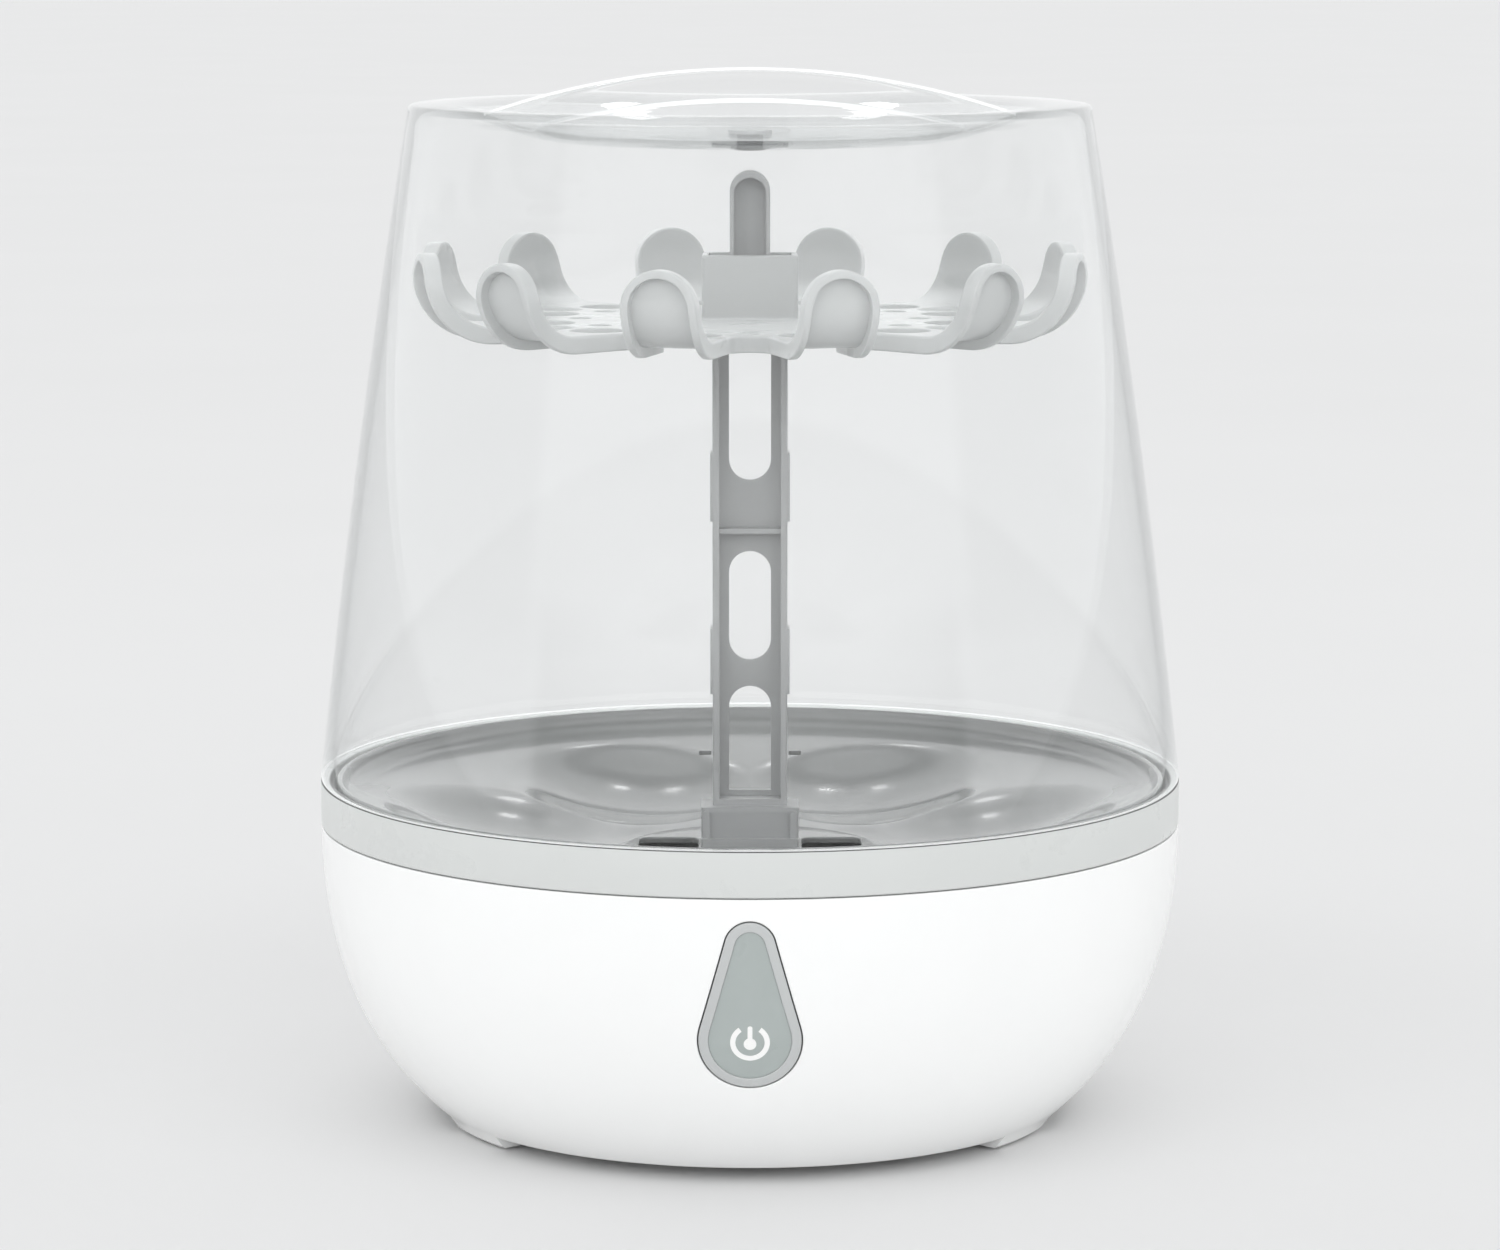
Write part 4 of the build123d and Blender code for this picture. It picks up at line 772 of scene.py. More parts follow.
# ============================================================ white housing
def housing():
    outer = [(bowl_r(z), z) for z in np.concatenate([np.linspace(88.9, 60.0, 26), np.linspace(59.0, 6.0, 60)])]
    r52 = bowl_r(5.2)
    tab_low = rounded([(r52, 5.2, 0), (94.5, 1.3, 1.2), (93.7, 0.7, 0.3), (93.15, 0.7, 0)], 4, closed=False)
    tab_low = [(bowl_r(5.6), 5.6)] + tab_low
    n_low = len(tab_low)
    rb = bowl_r(4.3)
    plain_low = [(bowl_r(5.6), 5.6), (bowl_r(5.2), 5.2), (bowl_r(4.7), 4.7), (rb, 4.3), (rb - 0.25, 4.09), (rb - 0.55, 4.0)]
    while len(plain_low) < n_low:
        k = len(plain_low) - 6
        plain_low.append((rb - 0.55 + (93.15 - rb + 0.55) * (k + 1) / (n_low - 6), 4.0))
    plain_pocket = [(93.1, 4.0), (93.1, 4.0), (89.3, 4.0), (89.3, 4.0), (88.2, 4.0), (87.9, 4.0)]
    tab_flat = [(93.1, 0.7), (93.1, 0.7), (89.3, 0.7), (89.3, 0.7), (88.2, 0.7), (88.2, 4.0)]
    tab_pocket = [(93.1, 0.7), (93.1, 1.72), (89.3, 1.72), (89.3, 0.7), (88.2, 0.7), (88.2, 4.0)]
    rest = [(87.8, 4.0), (87.8, 6.6), (76.2, 6.6), (76.0, 6.8), (76.0, 9.0), (bowl_off(9.0, 2.6), 9.0)]
    rest += [(bowl_off(z, 2.6), z) for z in np.linspace(9.6, 89.2, 60)]
    lip_in, lip_out = bowl_off(89.4, 2.6), bowl_r(89.1)
    rest += [(lip_in + 0.3, 89.4), (lip_out - 0.35, 89.4), (lip_out - 0.1, 89.32), (bowl_r(89.05), 89.1)]
    profiles = {
        "plain": outer + plain_low + plain_pocket + rest,
        "tab": outer + tab_low + tab_flat + rest,
        "pocket": outer + tab_low + tab_pocket + rest,
    }
    cols = []
    marks = []
    for mid in (-31.0, 31.0, 149.0, -149.0):
        mid %= 360
        marks += [(mid - 8.5, "plain", "tab"), (mid - 6.7, "tab", "pocket"), (mid + 6.7, "pocket", "tab"), (mid + 8.5, "tab", "plain")]
    marks.sort()
    kind = "plain"
    events = {round(a, 3): (k0, k1) for a, k0, k1 in marks}
    angles = sorted(set([round(float(a), 3) for a in range(360)] + list(events)))
    for a in angles:
        if a in events:
            cols.append((a, events[a][0]))
            cols.append((a, events[a][1]))
            kind = events[a][1]
        else:
            cols.append((a, kind))
    k = len(profiles["plain"])
    verts, faces = [], []
    for a, kd in cols:
        c, s = math.cos(math.radians(a)), math.sin(math.radians(a))
        verts.extend([(r * c, r * s, z) for r, z in profiles[kd]])
    n = len(cols)
    for j in range(n):
        j2 = (j + 1) % n
        for i in range(k):
            i2 = (i + 1) % k
            faces.append((j * k + i, j2 * k + i, j2 * k + i2, j * k + i2))
    ob = build("white_housing", verts, faces, None, [MAT["white_plastic"]])

    cuts = [prism(tear(0.9), -140.0, -96.0, "y")]
    cuts.append(prism(circle(11.2, 72, 0.0, 24.0), 96.0, 140.0, "y"))
    pillars = [(82.2 * math.cos(math.radians(a)), 82.2 * math.sin(math.radians(a))) for a in (60, 120, -60, -120)]
    bosses = [(80.6, 0.0), (-80.6, 0.0), (0.0, 80.6), (0.0, -80.6)]
    for x, y in pillars:
        cuts.append(prism(circle(3.75, 32, x, y), 5.0, 11.0))
    for x, y in bosses:
        cuts.append(prism(circle(1.5, 20, x, y), 5.0, 11.0))
    cv, cf = join(cuts)
    boolean(ob, [tool("cutter_housing", cv, cf)])

    extra = []
    section = [(0.92, 0.0)] + edge_round(0.0, 0.0, 0.5, 6) + [(0.0, 6.9), (0.1, 7.0), (1.9, 7.0), (2.0, 6.9), (2.0, 2.5), (0.92, 2.5)]
    extra.append(skin_ring(tear, section))
    ring = lambda o: circle(10.5 + o, 72, 0.0, 24.0)
    section = [(0.72, 0.0)] + edge_round(0.0, 0.0, 0.5, 5) + [
        (0.0, None, 104.4), (-0.3, None, 104.0), (-3.5, None, 104.0), (-3.8, None, 103.7), (-3.8, None, 97.0), (2.5, None, 97.0), (2.5, 2.4), (0.72, 2.4)]
    extra.append(skin_ring(ring, section, 1))
    for x, y in pillars:
        extra.append(lathe(rounded([(4.6, 8.6, 0), (4.6, 54.0, 0.4), (1.9, 54.0, 0.2), (1.9, 42.0, 0), (3.75, 42.0, 0), (3.75, 8.6, 0)], 3), 32, True, x, y))
    for x, y in bosses:
        extra.append(lathe(rounded([(3.8, 8.6, 0), (3.8, 20.0, 0.3), (1.5, 20.0, 0.2), (1.5, 8.6, 0)], 3), 24, True, x, y))
    for x in (-22.5, 22.5):
        for z in (42.0, 64.0):
            far = -math.sqrt(bowl_off(z, 1.4) ** 2 - (abs(x) + 2.9) ** 2)
            extra.append(lathe_y(rounded([(2.9, far, 0), (2.9, -107.02, 0.3), (1.25, -107.02, 0.2), (1.25, far, 0)], 3), 24, x, z))
    ev, ef = join(extra)
    add = tool("housing_extra", ev, ef)
    add.data.materials.append(MAT["white_plastic"])
    bm = bmesh.new()
    bm.from_mesh(ob.data)
    bm.from_mesh(add.data)
    bm.to_mesh(ob.data)
    bm.free()
    data = add.data
    bpy.data.objects.remove(add)
    bpy.data.meshes.remove(data)
    sharp_again(ob.data, 34.0)

    zs = np.linspace(3.0, 92.0, 1200)
    rs = np.array([bowl_r(q) for q in zs])
    sl = np.array([bowl_slope(q) for q in zs])

    def rule(co, fn):
        r = np.hypot(co[:, 0], co[:, 1])
        on = (np.abs(r - np.interp(co[:, 2], zs, rs)) < 0.03) & (co[:, 2] > 4.6) & (co[:, 2] < 89.0)
        s = np.interp(co[:, 2], zs, sl)
        k = np.sqrt(1 + s * s)
        new = np.full_like(co, np.nan)
        new[on] = np.stack([co[:, 0] / r / k, co[:, 1] / r / k, -s / k], 1)[on]
        return new

    own_normals(ob, rule)
    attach(ob, "base")
    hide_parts("base_housing")
    return ob


housing()

# ============================================================ light band
band = rounded(
    [
        (129.55, 89.72, 0.1), (130.0, 90.1, 0.25), (130.0, 102.95, 0.22), (129.2, 102.95, 0.1), (127.9, 102.95, 0.3), (127.5, 102.6, 0.2),
        (127.5, 94.4, 0.2), (122.9, 94.4, 0.2), (122.9, 91.8, 0.2), (124.5, 91.8, 0.2), (124.5, 86.0, 0.3), (126.5, 86.0, 0.3), (126.8, 89.72, 0.1),
    ],
    4,
)
v, f = lathe(band, 360)
build("light_band", v, f, "base", [MAT["band_plastic"]], ["trim_ring"])

# ============================================================ water basin
basin_top = [(121.6, 96.3), (118.9, 92.4), (113.8, 85.0), (107.6, 77.0), (99.8, 69.5), (90.0, 62.8), (78.0, 58.0), (66.0, 55.3), (55.0, 53.9)]


def shift(points, d):
    out = []
    for i, (r, z) in enumerate(points):
        a, b = points[max(0, i - 1)], points[min(len(points) - 1, i + 1)]
        tr, tz = b[0] - a[0], b[1] - a[1]
        n = math.hypot(tr, tz)
        out.append((r - tz / n * d, z + tr / n * d))
    return out


upper = spline(basin_top, 60)
lower = [p for p in shift(upper, 2.2) if p[0] > 71.5 and p[1] < 93.5]
profile = rounded([(127.2, 96.3, 0.3), (122.2, 96.3, 0.6)], 3, closed=False)
profile = [(127.0, 96.3), (122.2, 96.3)] + upper[1:-1] + [(55.2, 53.95), (55.0, 53.7), (55.0, 51.7), (62.8, 51.7), (62.8, 49.1), (70.6, 49.1), (70.6, 54.0)]
profile += lower[::-1] + [(122.6, 94.5), (127.0, 94.5), (127.2, 94.7), (127.2, 96.1)]
v, f = lathe(profile, 240)
parts = [(v, f)]
for a in (60, 120, -60, -120):
    x, y = 82.2 * math.cos(math.radians(a)), 82.2 * math.sin(math.radians(a))
    parts.append(lathe(rounded([(1.9, 54.1, 0.2), (4.2, 54.1, 0.2), (4.2, 58.6, 0), (1.9, 57.6, 0)], 2), 24, True, x, y))
v, f = join(parts)
build("water_pot", v, f, "base", [MAT["basin_plastic"]], ["basin_wall", "basin_floor"])


# ============================================================ push button
def button():
    r = 0.45
    o0, o1 = -0.35, -3.15
    top = []
    for k in range(7):
        a = math.pi / 2 * k / 6
        top.append((o0 - r * (1 - math.sin(a)), -0.12 + r * (1 - math.cos(a))))
    top = [(o0 - r * (1 - math.cos(a)), -0.12 + r * (1 - math.sin(a))) for a in [math.pi / 2 * k / 6 for k in range(7)]]
    inner = [(o1 + r * (1 - math.cos(a)) , -0.12 + r * (1 - math.sin(a))) for a in [math.pi / 2 * (1 - k / 6) for k in range(7)]]
    section = top + inner + [(o1, 1.5), (o1 - 1.5, 1.5), (o1 - 1.5, 4.0), (-2.15, 4.0), (-2.15, 9.2), (1.6, 9.2), (1.7, 9.1), (1.7, 7.7), (1.6, 7.6), (-0.35, 7.6)]
    parts = [skin_ring(tear, section)]
    outline = tear(o1 - 1.45)
    grid = [(float(x), float(z)) for x in np.arange(-10.5, 10.6, 1.5) for z in np.arange(34.5, 84.0, 1.5)]
    grid = [q for q, k in zip(grid, within(np.array(grid), tear(o1 - 2.1))) if k]
    flat, tris = fill(outline, [], grid)
    for d in (1.5, 4.0):
        parts.append(([(x, skin_y(x, z, d), z) for x, z in flat], tris))
    n = len(outline)
    verts = [(x, skin_y(x, z, d), z) for d in (1.5, 4.0) for x, z in outline]
    parts.append((verts, [(i, n + i, n + (i + 1) % n, (i + 1) % n) for i in range(n)]))
    parts.append(lathe_y(rounded([(0.0, -125.5, 0), (3.9, -125.5, 0.1), (3.9, -113.42, 0.3), (0.0, -113.42, 0)], 3), 32, 0.0, 63.0))
    v, f = join(parts)
    build("button_cap", v, f, "button", [MAT["button_plastic"]], ["power_button"], angle=40.0)


# ============================================================ bottle rack
def rack():
    hub_z, t = 79.6, 2.0
    slope = (95.2 - hub_z) / (112.0 - 38.0)
    nrm = math.hypot(1, slope)
    seat_r, depth, pcd = 33.0, 6.0, 76.0
    ball = (seat_r**2 + depth**2) / (2 * depth)
    cone = hub_z + slope * (pcd - 38.0)
    sr = pcd - slope / nrm * (ball - depth)
    sz = cone + (ball - depth) / nrm
    outer_pts = [(112.0, 95.2), (116.0, 96.1), (118.6, 96.75), (120.4, 97.2), (121.8, 97.95), (122.8, 99.0), (123.2, 100.2), (123.4, 101.4), (123.45, 102.4), (123.75, 102.85), (124.2, 103.0)]

    def z_top(x, y):
        r = math.hypot(x, y)
        if r <= 112.0:
            z = hub_z + slope * max(0.0, r - 38.0)
        else:
            z = float(np.interp(r, [p[0] for p in outer_pts], [p[1] for p in outer_pts]))
        low = 1e9
        for i in range(6):
            a = math.radians(60 * i)
            dx, dy = x - sr * math.cos(a), y - sr * math.sin(a)
            q = ball * ball - dx * dx - dy * dy
            if q > 0:
                low = min(low, sz - math.sqrt(q))
        k = 2.4
        if low < z + 6:
            h = max(0.0, min(1.0, 0.5 + 0.5 * (z - low) / k))
            z = z * (1 - h) + low * h - k * h * (1 - h)
        return z

    n = 540
    radii = [38.0, 38.6] + list(np.arange(39.5, 111.6, 0.9)) + [112.0, 113.2, 114.4, 115.6, 116.8, 118.0, 119.6]
    rows = []
    faces_z = {}
    for r in radii:
        ring_pts = []
        for j in range(n):
            a = 2 * math.pi * j / n
            x, y = r * math.cos(a), r * math.sin(a)
            z = hub_z if r == 38.0 else z_top(x, y)
            if r < 46.0:
                w = (r - 38.0) / 8.0
                z = hub_z * (1 - w) ** 2 + z * (1 - (1 - w) ** 2)
            ring_pts.append((x, y, z))
        rows.append(ring_pts)
        faces_z[r] = [p[2] for p in ring_pts]
    for r, z in outer_pts[4:]:
        rows.append([(r * math.cos(2 * math.pi * j / n), r * math.sin(2 * math.pi * j / n), z) for j in range(n)])
    for r, z in [(124.6, 102.95), (124.95, 102.7), (125.2, 102.3), (125.2, 97.0), (125.0, 96.6), (124.7, 96.5), (121.6, 96.5), (121.2, 96.3)]:
        rows.append([(r * math.cos(2 * math.pi * j / n), r * math.sin(2 * math.pi * j / n), z) for j in range(n)])
    for r in [119.8] + radii[::-1]:
        level = faces_z[radii[-1]] if r > radii[-1] else faces_z[r]
        rows.append([(r * math.cos(2 * math.pi * j / n), r * math.sin(2 * math.pi * j / n), level[j] - t) for j in range(n)])
    verts, faces = [], []
    for row in rows:
        verts.extend(row)
    m = len(rows)
    for i in range(m - 1):
        for j in range(n):
            j2 = (j + 1) % n
            faces.append((i * n + j, i * n + j2, (i + 1) * n + j2, (i + 1) * n + j))

    # flat hub with its openings: round-edged plates between two faces
    hub_outer = [verts[i][:2] for i in range(n)]
    holes = []
    for sx in (-1, 1):
        holes.append((rect(9.1, 17.0, 3.0, sx * 24.9, 0.0, 6), 0.5))
        holes.append((rect(2.3, 5.2, 0.3, sx * 9.0, 0.0, 2), 0.15))
    pv, pf = plate(hub_outer, holes, hub_z - t, hub_z, open_edge=True)
    v, f = join([(verts, faces), (pv, pf)])
    ob = build("rack", v, f, None, [MAT["rack_plastic"]], angle=40.0, weld=2e-6)
    cuts = []
    for sx in (-1, 1):
        for sy in (-1, 1):
            cuts.append(prism(rect(2.0, 1.5, 0.5, sx * 14.5, sy * 97.5, 3), 84.0, 99.5))
    cv, cf = join(cuts)
    boolean(ob, [tool("cutter_rack", cv, cf)])
    sharp_again(ob.data, 40.0)
    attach(ob, "rack")
    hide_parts("bottle_rack")
    return ob


def inset(loop, d):
    """A closed loop moved along its normals: positive d shrinks a counter-clockwise loop."""
    p = np.array(loop, float)
    a, b = np.roll(p, 1, 0), np.roll(p, -1, 0)
    t = (p - a) / np.linalg.norm(p - a, axis=1)[:, None]
    s = (b - p) / np.linalg.norm(b - p, axis=1)[:, None]
    n0 = np.stack([-t[:, 1], t[:, 0]], 1)
    n1 = np.stack([-s[:, 1], s[:, 0]], 1)
    m = n0 + n1
    m /= np.linalg.norm(m, axis=1)[:, None]
    k = 1.0 / np.maximum(0.5, (m * n0).sum(1))
    return [tuple(q) for q in (p + m * (d * k)[:, None]).tolist()]


def ccw(loop):
    a = sum(x0 * y1 - x1 * y0 for (x0, y0), (x1, y1) in zip(loop, loop[1:] + loop[:1]))
    return loop if a > 0 else loop[::-1]


def fill(outer, holes, inner_points=()):
    """Triangles between an outer loop and holes, with extra points inside."""
    pts, edges = [], []
    for loop in [outer] + list(holes):
        k = len(pts)
        pts.extend(loop)
        edges.extend([(k + i, k + (i + 1) % len(loop)) for i in range(len(loop))])
    pts.extend(inner_points)
    res = geometry.delaunay_2d_cdt([Vector(p) for p in pts], edges, [], 1, 1e-7)
    flat = np.array([tuple(p) for p in res[0]], float)
    tris = [tuple(q) for q in res[2]]
    mid = np.array([flat[list(q)].mean(0) for q in tris])
    keep = within(mid, outer)
    for loop in holes:
        keep &= ~within(mid, loop)
    return flat.tolist(), [q for q, k in zip(tris, keep) if k]


def within(points, loop):
    """Which points lie inside a closed loop, by counting crossings."""
    p = np.array(loop, float)
    q = np.roll(p, -1, 0)
    x, y = points[:, 0:1], points[:, 1:2]
    cross = (p[:, 1] > y) != (q[:, 1] > y)
    rise = np.where(np.abs(q[:, 1] - p[:, 1]) < 1e-12, 1e-12, q[:, 1] - p[:, 1])
    at = p[:, 0] + (y - p[:, 1]) * (q[:, 0] - p[:, 0]) / rise
    return ((cross & (x < at)).sum(1) % 2) == 1


def plate(outer, holes, z0, z1, r_edge=0.0, open_edge=False, seg=4):
    """Flat plate with holes. Holes are (loop, edge radius)."""
    outer = ccw(list(outer))
    parts = []
    tops, lows = [], []
    for loop, r in holes:
        loop = ccw(list(loop))
        n = len(loop)
        rings = []
        for k in range(seg + 1):
            a = math.pi / 2 * k / seg
            rings.append((inset(loop, -r * (1 - math.sin(a))), z1 - r * (1 - math.cos(a))))
        for k in range(seg + 1):
            a = math.pi / 2 * (1 - k / seg)
            rings.append((inset(loop, -r * (1 - math.sin(a))), z0 + r * (1 - math.cos(a))))
        verts, faces = [], []
        for lp, z in rings:
            verts.extend([(x, y, z) for x, y in lp])
        for i in range(len(rings) - 1):
            for j in range(n):
                j2 = (j + 1) % n
                faces.append((i * n + j, i * n + j2, (i + 1) * n + j2, (i + 1) * n + j))
        parts.append((verts, faces))
        tops.append(rings[0][0])
        lows.append(rings[-1][0])
    rim_top, rim_low = outer, outer
    if not open_edge:
        rings = []
        for k in range(seg + 1):
            a = math.pi / 2 * k / seg
            rings.append((inset(outer, r_edge * (1 - math.sin(a))), z1 - r_edge * (1 - math.cos(a))))
        for k in range(seg + 1):
            a = math.pi / 2 * (1 - k / seg)
            rings.append((inset(outer, r_edge * (1 - math.sin(a))), z0 + r_edge * (1 - math.cos(a))))
        n = len(outer)
        verts, faces = [], []
        for lp, z in rings:
            verts.extend([(x, y, z) for x, y in lp])
        for i in range(len(rings) - 1):
            for j in range(n):
                j2 = (j + 1) % n
                faces.append((i * n + j, i * n + j2, (i + 1) * n + j2, (i + 1) * n + j))
        parts.append((verts, faces))
        rim_top, rim_low = rings[0][0], rings[-1][0]
    for z, rim, inner in ((z1, rim_top, tops), (z0, rim_low, lows)):
        p, q = fill(rim, inner)
        parts.append(([(x, y, z) for x, y in p], q))
    return join(parts)


rack()
button()


# ============================================================ teat tray
BEND_R, BEND_Z, BEND_IN = 81.0, 256.0, 14.8
ARM_HALF, TIP_U = 11.25, 99.5


def bend(x, y, h):
    """Flat pattern point and depth under the top face, to its place on the bent tray."""
    r = math.hypot(x, y)
    if r > 60.0:
        k = round((math.degrees(math.atan2(y, x)) - 15.0) / 30.0)
        a = math.radians(15.0 + 30.0 * k)
        c, s = math.cos(a), math.sin(a)
        u, w = x * c + y * s, -x * s + y * c
        if u > BEND_R:
            rho = BEND_IN + h
            phi = (u - BEND_R) / BEND_IN
            if phi <= math.pi / 2:
                rr, zz = BEND_R + rho * math.sin(phi), BEND_Z - rho * math.cos(phi)
            else:
                rr, zz = BEND_R + rho, BEND_Z + (u - BEND_R - BEND_IN * math.pi / 2)
            return rr * c - w * s, rr * s + w * c, zz
    return x, y, BEND_Z - BEND_IN - h


def tray_outline():
    """Boundary of the flat pattern, counter-clockwise, with its outward normals."""
    pts = []
    for k in range(12):
        a = math.radians(15.0 + 30.0 * k)
        c, s = math.cos(a), math.sin(a)

        def out(u, w, nu, nw):
            pts.append((u * c - w * s, u * s + w * c, nu * c - nw * s, nu * s + nw * c))

        g = math.radians(-15.0)
        # half of the scallop before this arm, then the arm, then half of the next scallop
        cx, cy = 66.4 * math.cos(g), 66.4 * math.sin(g)
        for i in range(12):
            t = math.pi - 15.0 * math.pi / 180 - (75.0 * math.pi / 180) * i / 12
            out(cx + 5.935 * math.cos(t), cy + 5.935 * math.sin(t), -math.cos(t), -math.sin(t))
        u0 = 66.4 * math.cos(g)
        us = [u0 + (BEND_R - u0) * i / 4 for i in range(4)] + [BEND_R + (TIP_U - BEND_R) * i / 16 for i in range(16)]
        for u in us:
            out(u, -ARM_HALF, 0, -1)
        for i in range(37):
            t = -math.pi / 2 + math.pi * i / 36
            out(TIP_U + ARM_HALF * math.cos(t), ARM_HALF * math.sin(t), math.cos(t), math.sin(t))
        for u in us[::-1]:
            out(u, ARM_HALF, 0, 1)
        cy = -cy
        for i in range(1, 12):
            t = -math.pi / 2 - (75.0 * math.pi / 180) * i / 12
            out(cx + 5.935 * math.cos(t), cy + 5.935 * math.sin(t), -math.cos(t), -math.sin(t))
    return pts


def tray():
    edge = tray_outline()
    n = len(edge)
    r = 0.9
    section = [(r * (1 - math.sin(a)), r * (1 - math.cos(a))) for a in [math.pi / 2 * k / 6 for k in range(7)]]
    section = [(r - r * math.sin(a), r - r * math.cos(a)) for a in [math.pi / 2 * k / 6 for k in range(7)]]
    section += rounded([(0.0, 2.0, 0), (0.0, 5.2, 0.7), (2.4, 5.2, 0.35), (2.4, 2.2, 0.14), (2.56, 2.2, 0)], 4, closed=False)
    parts = []
    verts, faces = [], []
    for x, y, nx, ny in edge:
        for d, h in section:
            verts.append(bend(x - nx * d, y - ny * d, h))
    k = len(section)
    for j in range(n):
        j2 = (j + 1) % n
        for i in range(k - 1):
            faces.append((j * k + i, j2 * k + i, j2 * k + i + 1, j * k + i + 1))
    parts.append((verts, faces))

    holes = []
    for i in range(12):
        a = math.radians(15 + 30 * i)
        holes.append((62.5 * math.cos(a), 62.5 * math.sin(a), 8.5))
        a = math.radians(30 * i)
        holes.append((51.0 * math.cos(a), 51.0 * math.sin(a), 3.5))
    top_loops, low_loops = [], []
    re = 0.4
    for x, y, q in holes:
        m = 48 if q > 5 else 28
        rings = [(q + re * (1 - math.sin(a)), re * (1 - math.cos(a))) for a in [math.pi / 2 * i / 4 for i in range(5)]]
        rings += [(q, 1.95), (q + 0.04, 2.12), (q + 0.12, 2.2)]
        vv, ff = [], []
        for rad, h in rings:
            vv.extend([bend(x + rad * math.cos(2 * math.pi * j / m), y + rad * math.sin(2 * math.pi * j / m), h) for j in range(m)])
        for i in range(len(rings) - 1):
            for j in range(m):
                j2 = (j + 1) % m
                ff.append((i * m + j, i * m + j2, (i + 1) * m + j2, (i + 1) * m + j))
        parts.append((vv, ff))
        top_loops.append([(x + rings[0][0] * math.cos(2 * math.pi * j / m), y + rings[0][0] * math.sin(2 * math.pi * j / m)) for j in range(m)])
        low_loops.append([(x + rings[-1][0] * math.cos(2 * math.pi * j / m), y + rings[-1][0] * math.sin(2 * math.pi * j / m)) for j in range(m)])
    # the plate is open inside the socket
    sock = rect(12.4, 6.5, 0.6, seg=3)
    m = len(sock)
    vv = [(x, y, BEND_Z - BEND_IN - h) for h in (0.0, 2.2) for x, y in sock]
    parts.append((vv, [(j, (j + 1) % m, m + (j + 1) % m, m + j) for j in range(m)]))
    top_loops.append(sock)
    low_loops.append(sock)

    grid = []
    for kk in range(12):
        a = math.radians(15 + 30 * kk)
        c, s = math.cos(a), math.sin(a)
        for iu in range(21):
            u = BEND_R + 1.45 * iu
            for iv in range(-3, 4):
                w = iv * 2.55
                if u > TIP_U and math.hypot(u - TIP_U, w) > ARM_HALF - 4.0:
                    continue
                grid.append((u * c - w * s, u * s + w * c))
    for d, h, loops in ((0.9, 0.0, top_loops), (2.56, 2.2, low_loops)):
        rim = [(x - nx * d, y - ny * d) for x, y, nx, ny in edge]
        p, q = fill(rim, loops, grid)
        parts.append(([bend(x, y, h) for x, y in p], q))

    # socket over the mast: a rounded box with a ledge inside
    z_top = BEND_Z - BEND_IN
    out_loop = rect(14.4, 8.5, 1.6, seg=6)
    in_loop = [p for p in rect(12.4, 6.5, 0.6, seg=6)]
    m = len(out_loop)
    rings = [(inset(out_loop, -0.9), z_top), (inset(out_loop, -0.45), z_top + 0.12), (inset(out_loop, -0.12), z_top + 0.45), (out_loop, z_top + 0.9)]
    rings += [(out_loop, 259.6), (inset(out_loop, 0.12), 260.1), (inset(out_loop, 0.4), 260.4), (inset(out_loop, 0.8), 260.5)]
    rings += [(inset(in_loop, -0.35), 260.5), (inset(in_loop, -0.1), 260.4), (in_loop, 260.1), (in_loop, z_top - 0.6), (inset(out_loop, -0.9), z_top - 0.6)]
    vv, ff = [], []
    for lp, z in rings:
        vv.extend([(x, y, z) for x, y in lp])
    for i in range(len(rings)):
        i2 = (i + 1) % len(rings)
        for j in range(m):
            j2 = (j + 1) % m
            ff.append((i * m + j, i * m + j2, i2 * m + j2, i2 * m + j))
    parts.append((vv, ff))
    slot_loop = [(x, y + 0.5) for x, y in rect(6.55, 4.6, 0.5, seg=3)]
    parts.append(plate(rect(12.45, 6.55, 0.6, seg=3), [(slot_loop, 0.2)], 256.17, 258.4))
    v, f = join(parts)
    ob = build("teat_holder", v, f, "tray", [MAT["tray_plastic"]], ["teat_tray", "tray_petals", "tray_socket"], angle=38.0, weld=2e-6)
    return ob


tray()


# ============================================================ mast
def refine(node, width, seg=2, angle=28.0, name=None):
    """A node's own shape with its edges softly broken."""
    src = NODES[node]
    bm = bmesh.new()
    bm.from_mesh(src.data)
    bmesh.ops.remove_doubles(bm, verts=bm.verts, dist=2e-6)
    bmesh.ops.dissolve_limit(bm, angle_limit=math.radians(1.0), verts=bm.verts, edges=bm.edges)
    sharp = [e for e in bm.edges if len(e.link_faces) == 2 and e.calc_face_angle(0) > math.radians(angle)]
    bmesh.ops.bevel(bm, geom=sharp, offset=width * MM, segments=seg, profile=0.6, affect="EDGES", clamp_overlap=True)
    bmesh.ops.recalc_face_normals(bm, faces=bm.faces)
    me = bpy.data.meshes.new(name or node + "_fine")
    bm.to_mesh(me)
    bm.free()
    me.materials.append(src.material_slots[0].material)
    sharp_again(me, 40.0)
    ob = bpy.data.objects.new(name or node + "_fine", me)
    SCENE.collection.objects.link(ob)
    body = src["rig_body"]
    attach(ob, body)
    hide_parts(node)
    return ob


refine("mast", 0.35, name="mast_channel")


# ============================================================ return spring, kept at its modelled length (the real one shortens as the button goes in)
def coil():
    src = NODES["return_spring"]
    me = src.data.copy()
    me.name = "coil_spring"
    ob = bpy.data.objects.new("coil_spring", me)
    SCENE.collection.objects.link(ob)
    ob.material_slots[0].material = MAT["spring_steel"]
    sharp_again(me, 40.0)
    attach(ob, "base")
    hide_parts("return_spring")
    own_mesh(ob)
    return ob


coil()


# ============================================================ lid
def lid_r(z):
    t = (z - Z_SEAM) / 200.0
    return R_MAX - 21.9 * t - 6.0 * t * t


def lid_in_r(z):
    t = (z - Z_SEAM) / 200.0
    return lid_r(z) - 2.8 * math.hypot(1, -(21.9 + 12.0 * t) / 200.0)


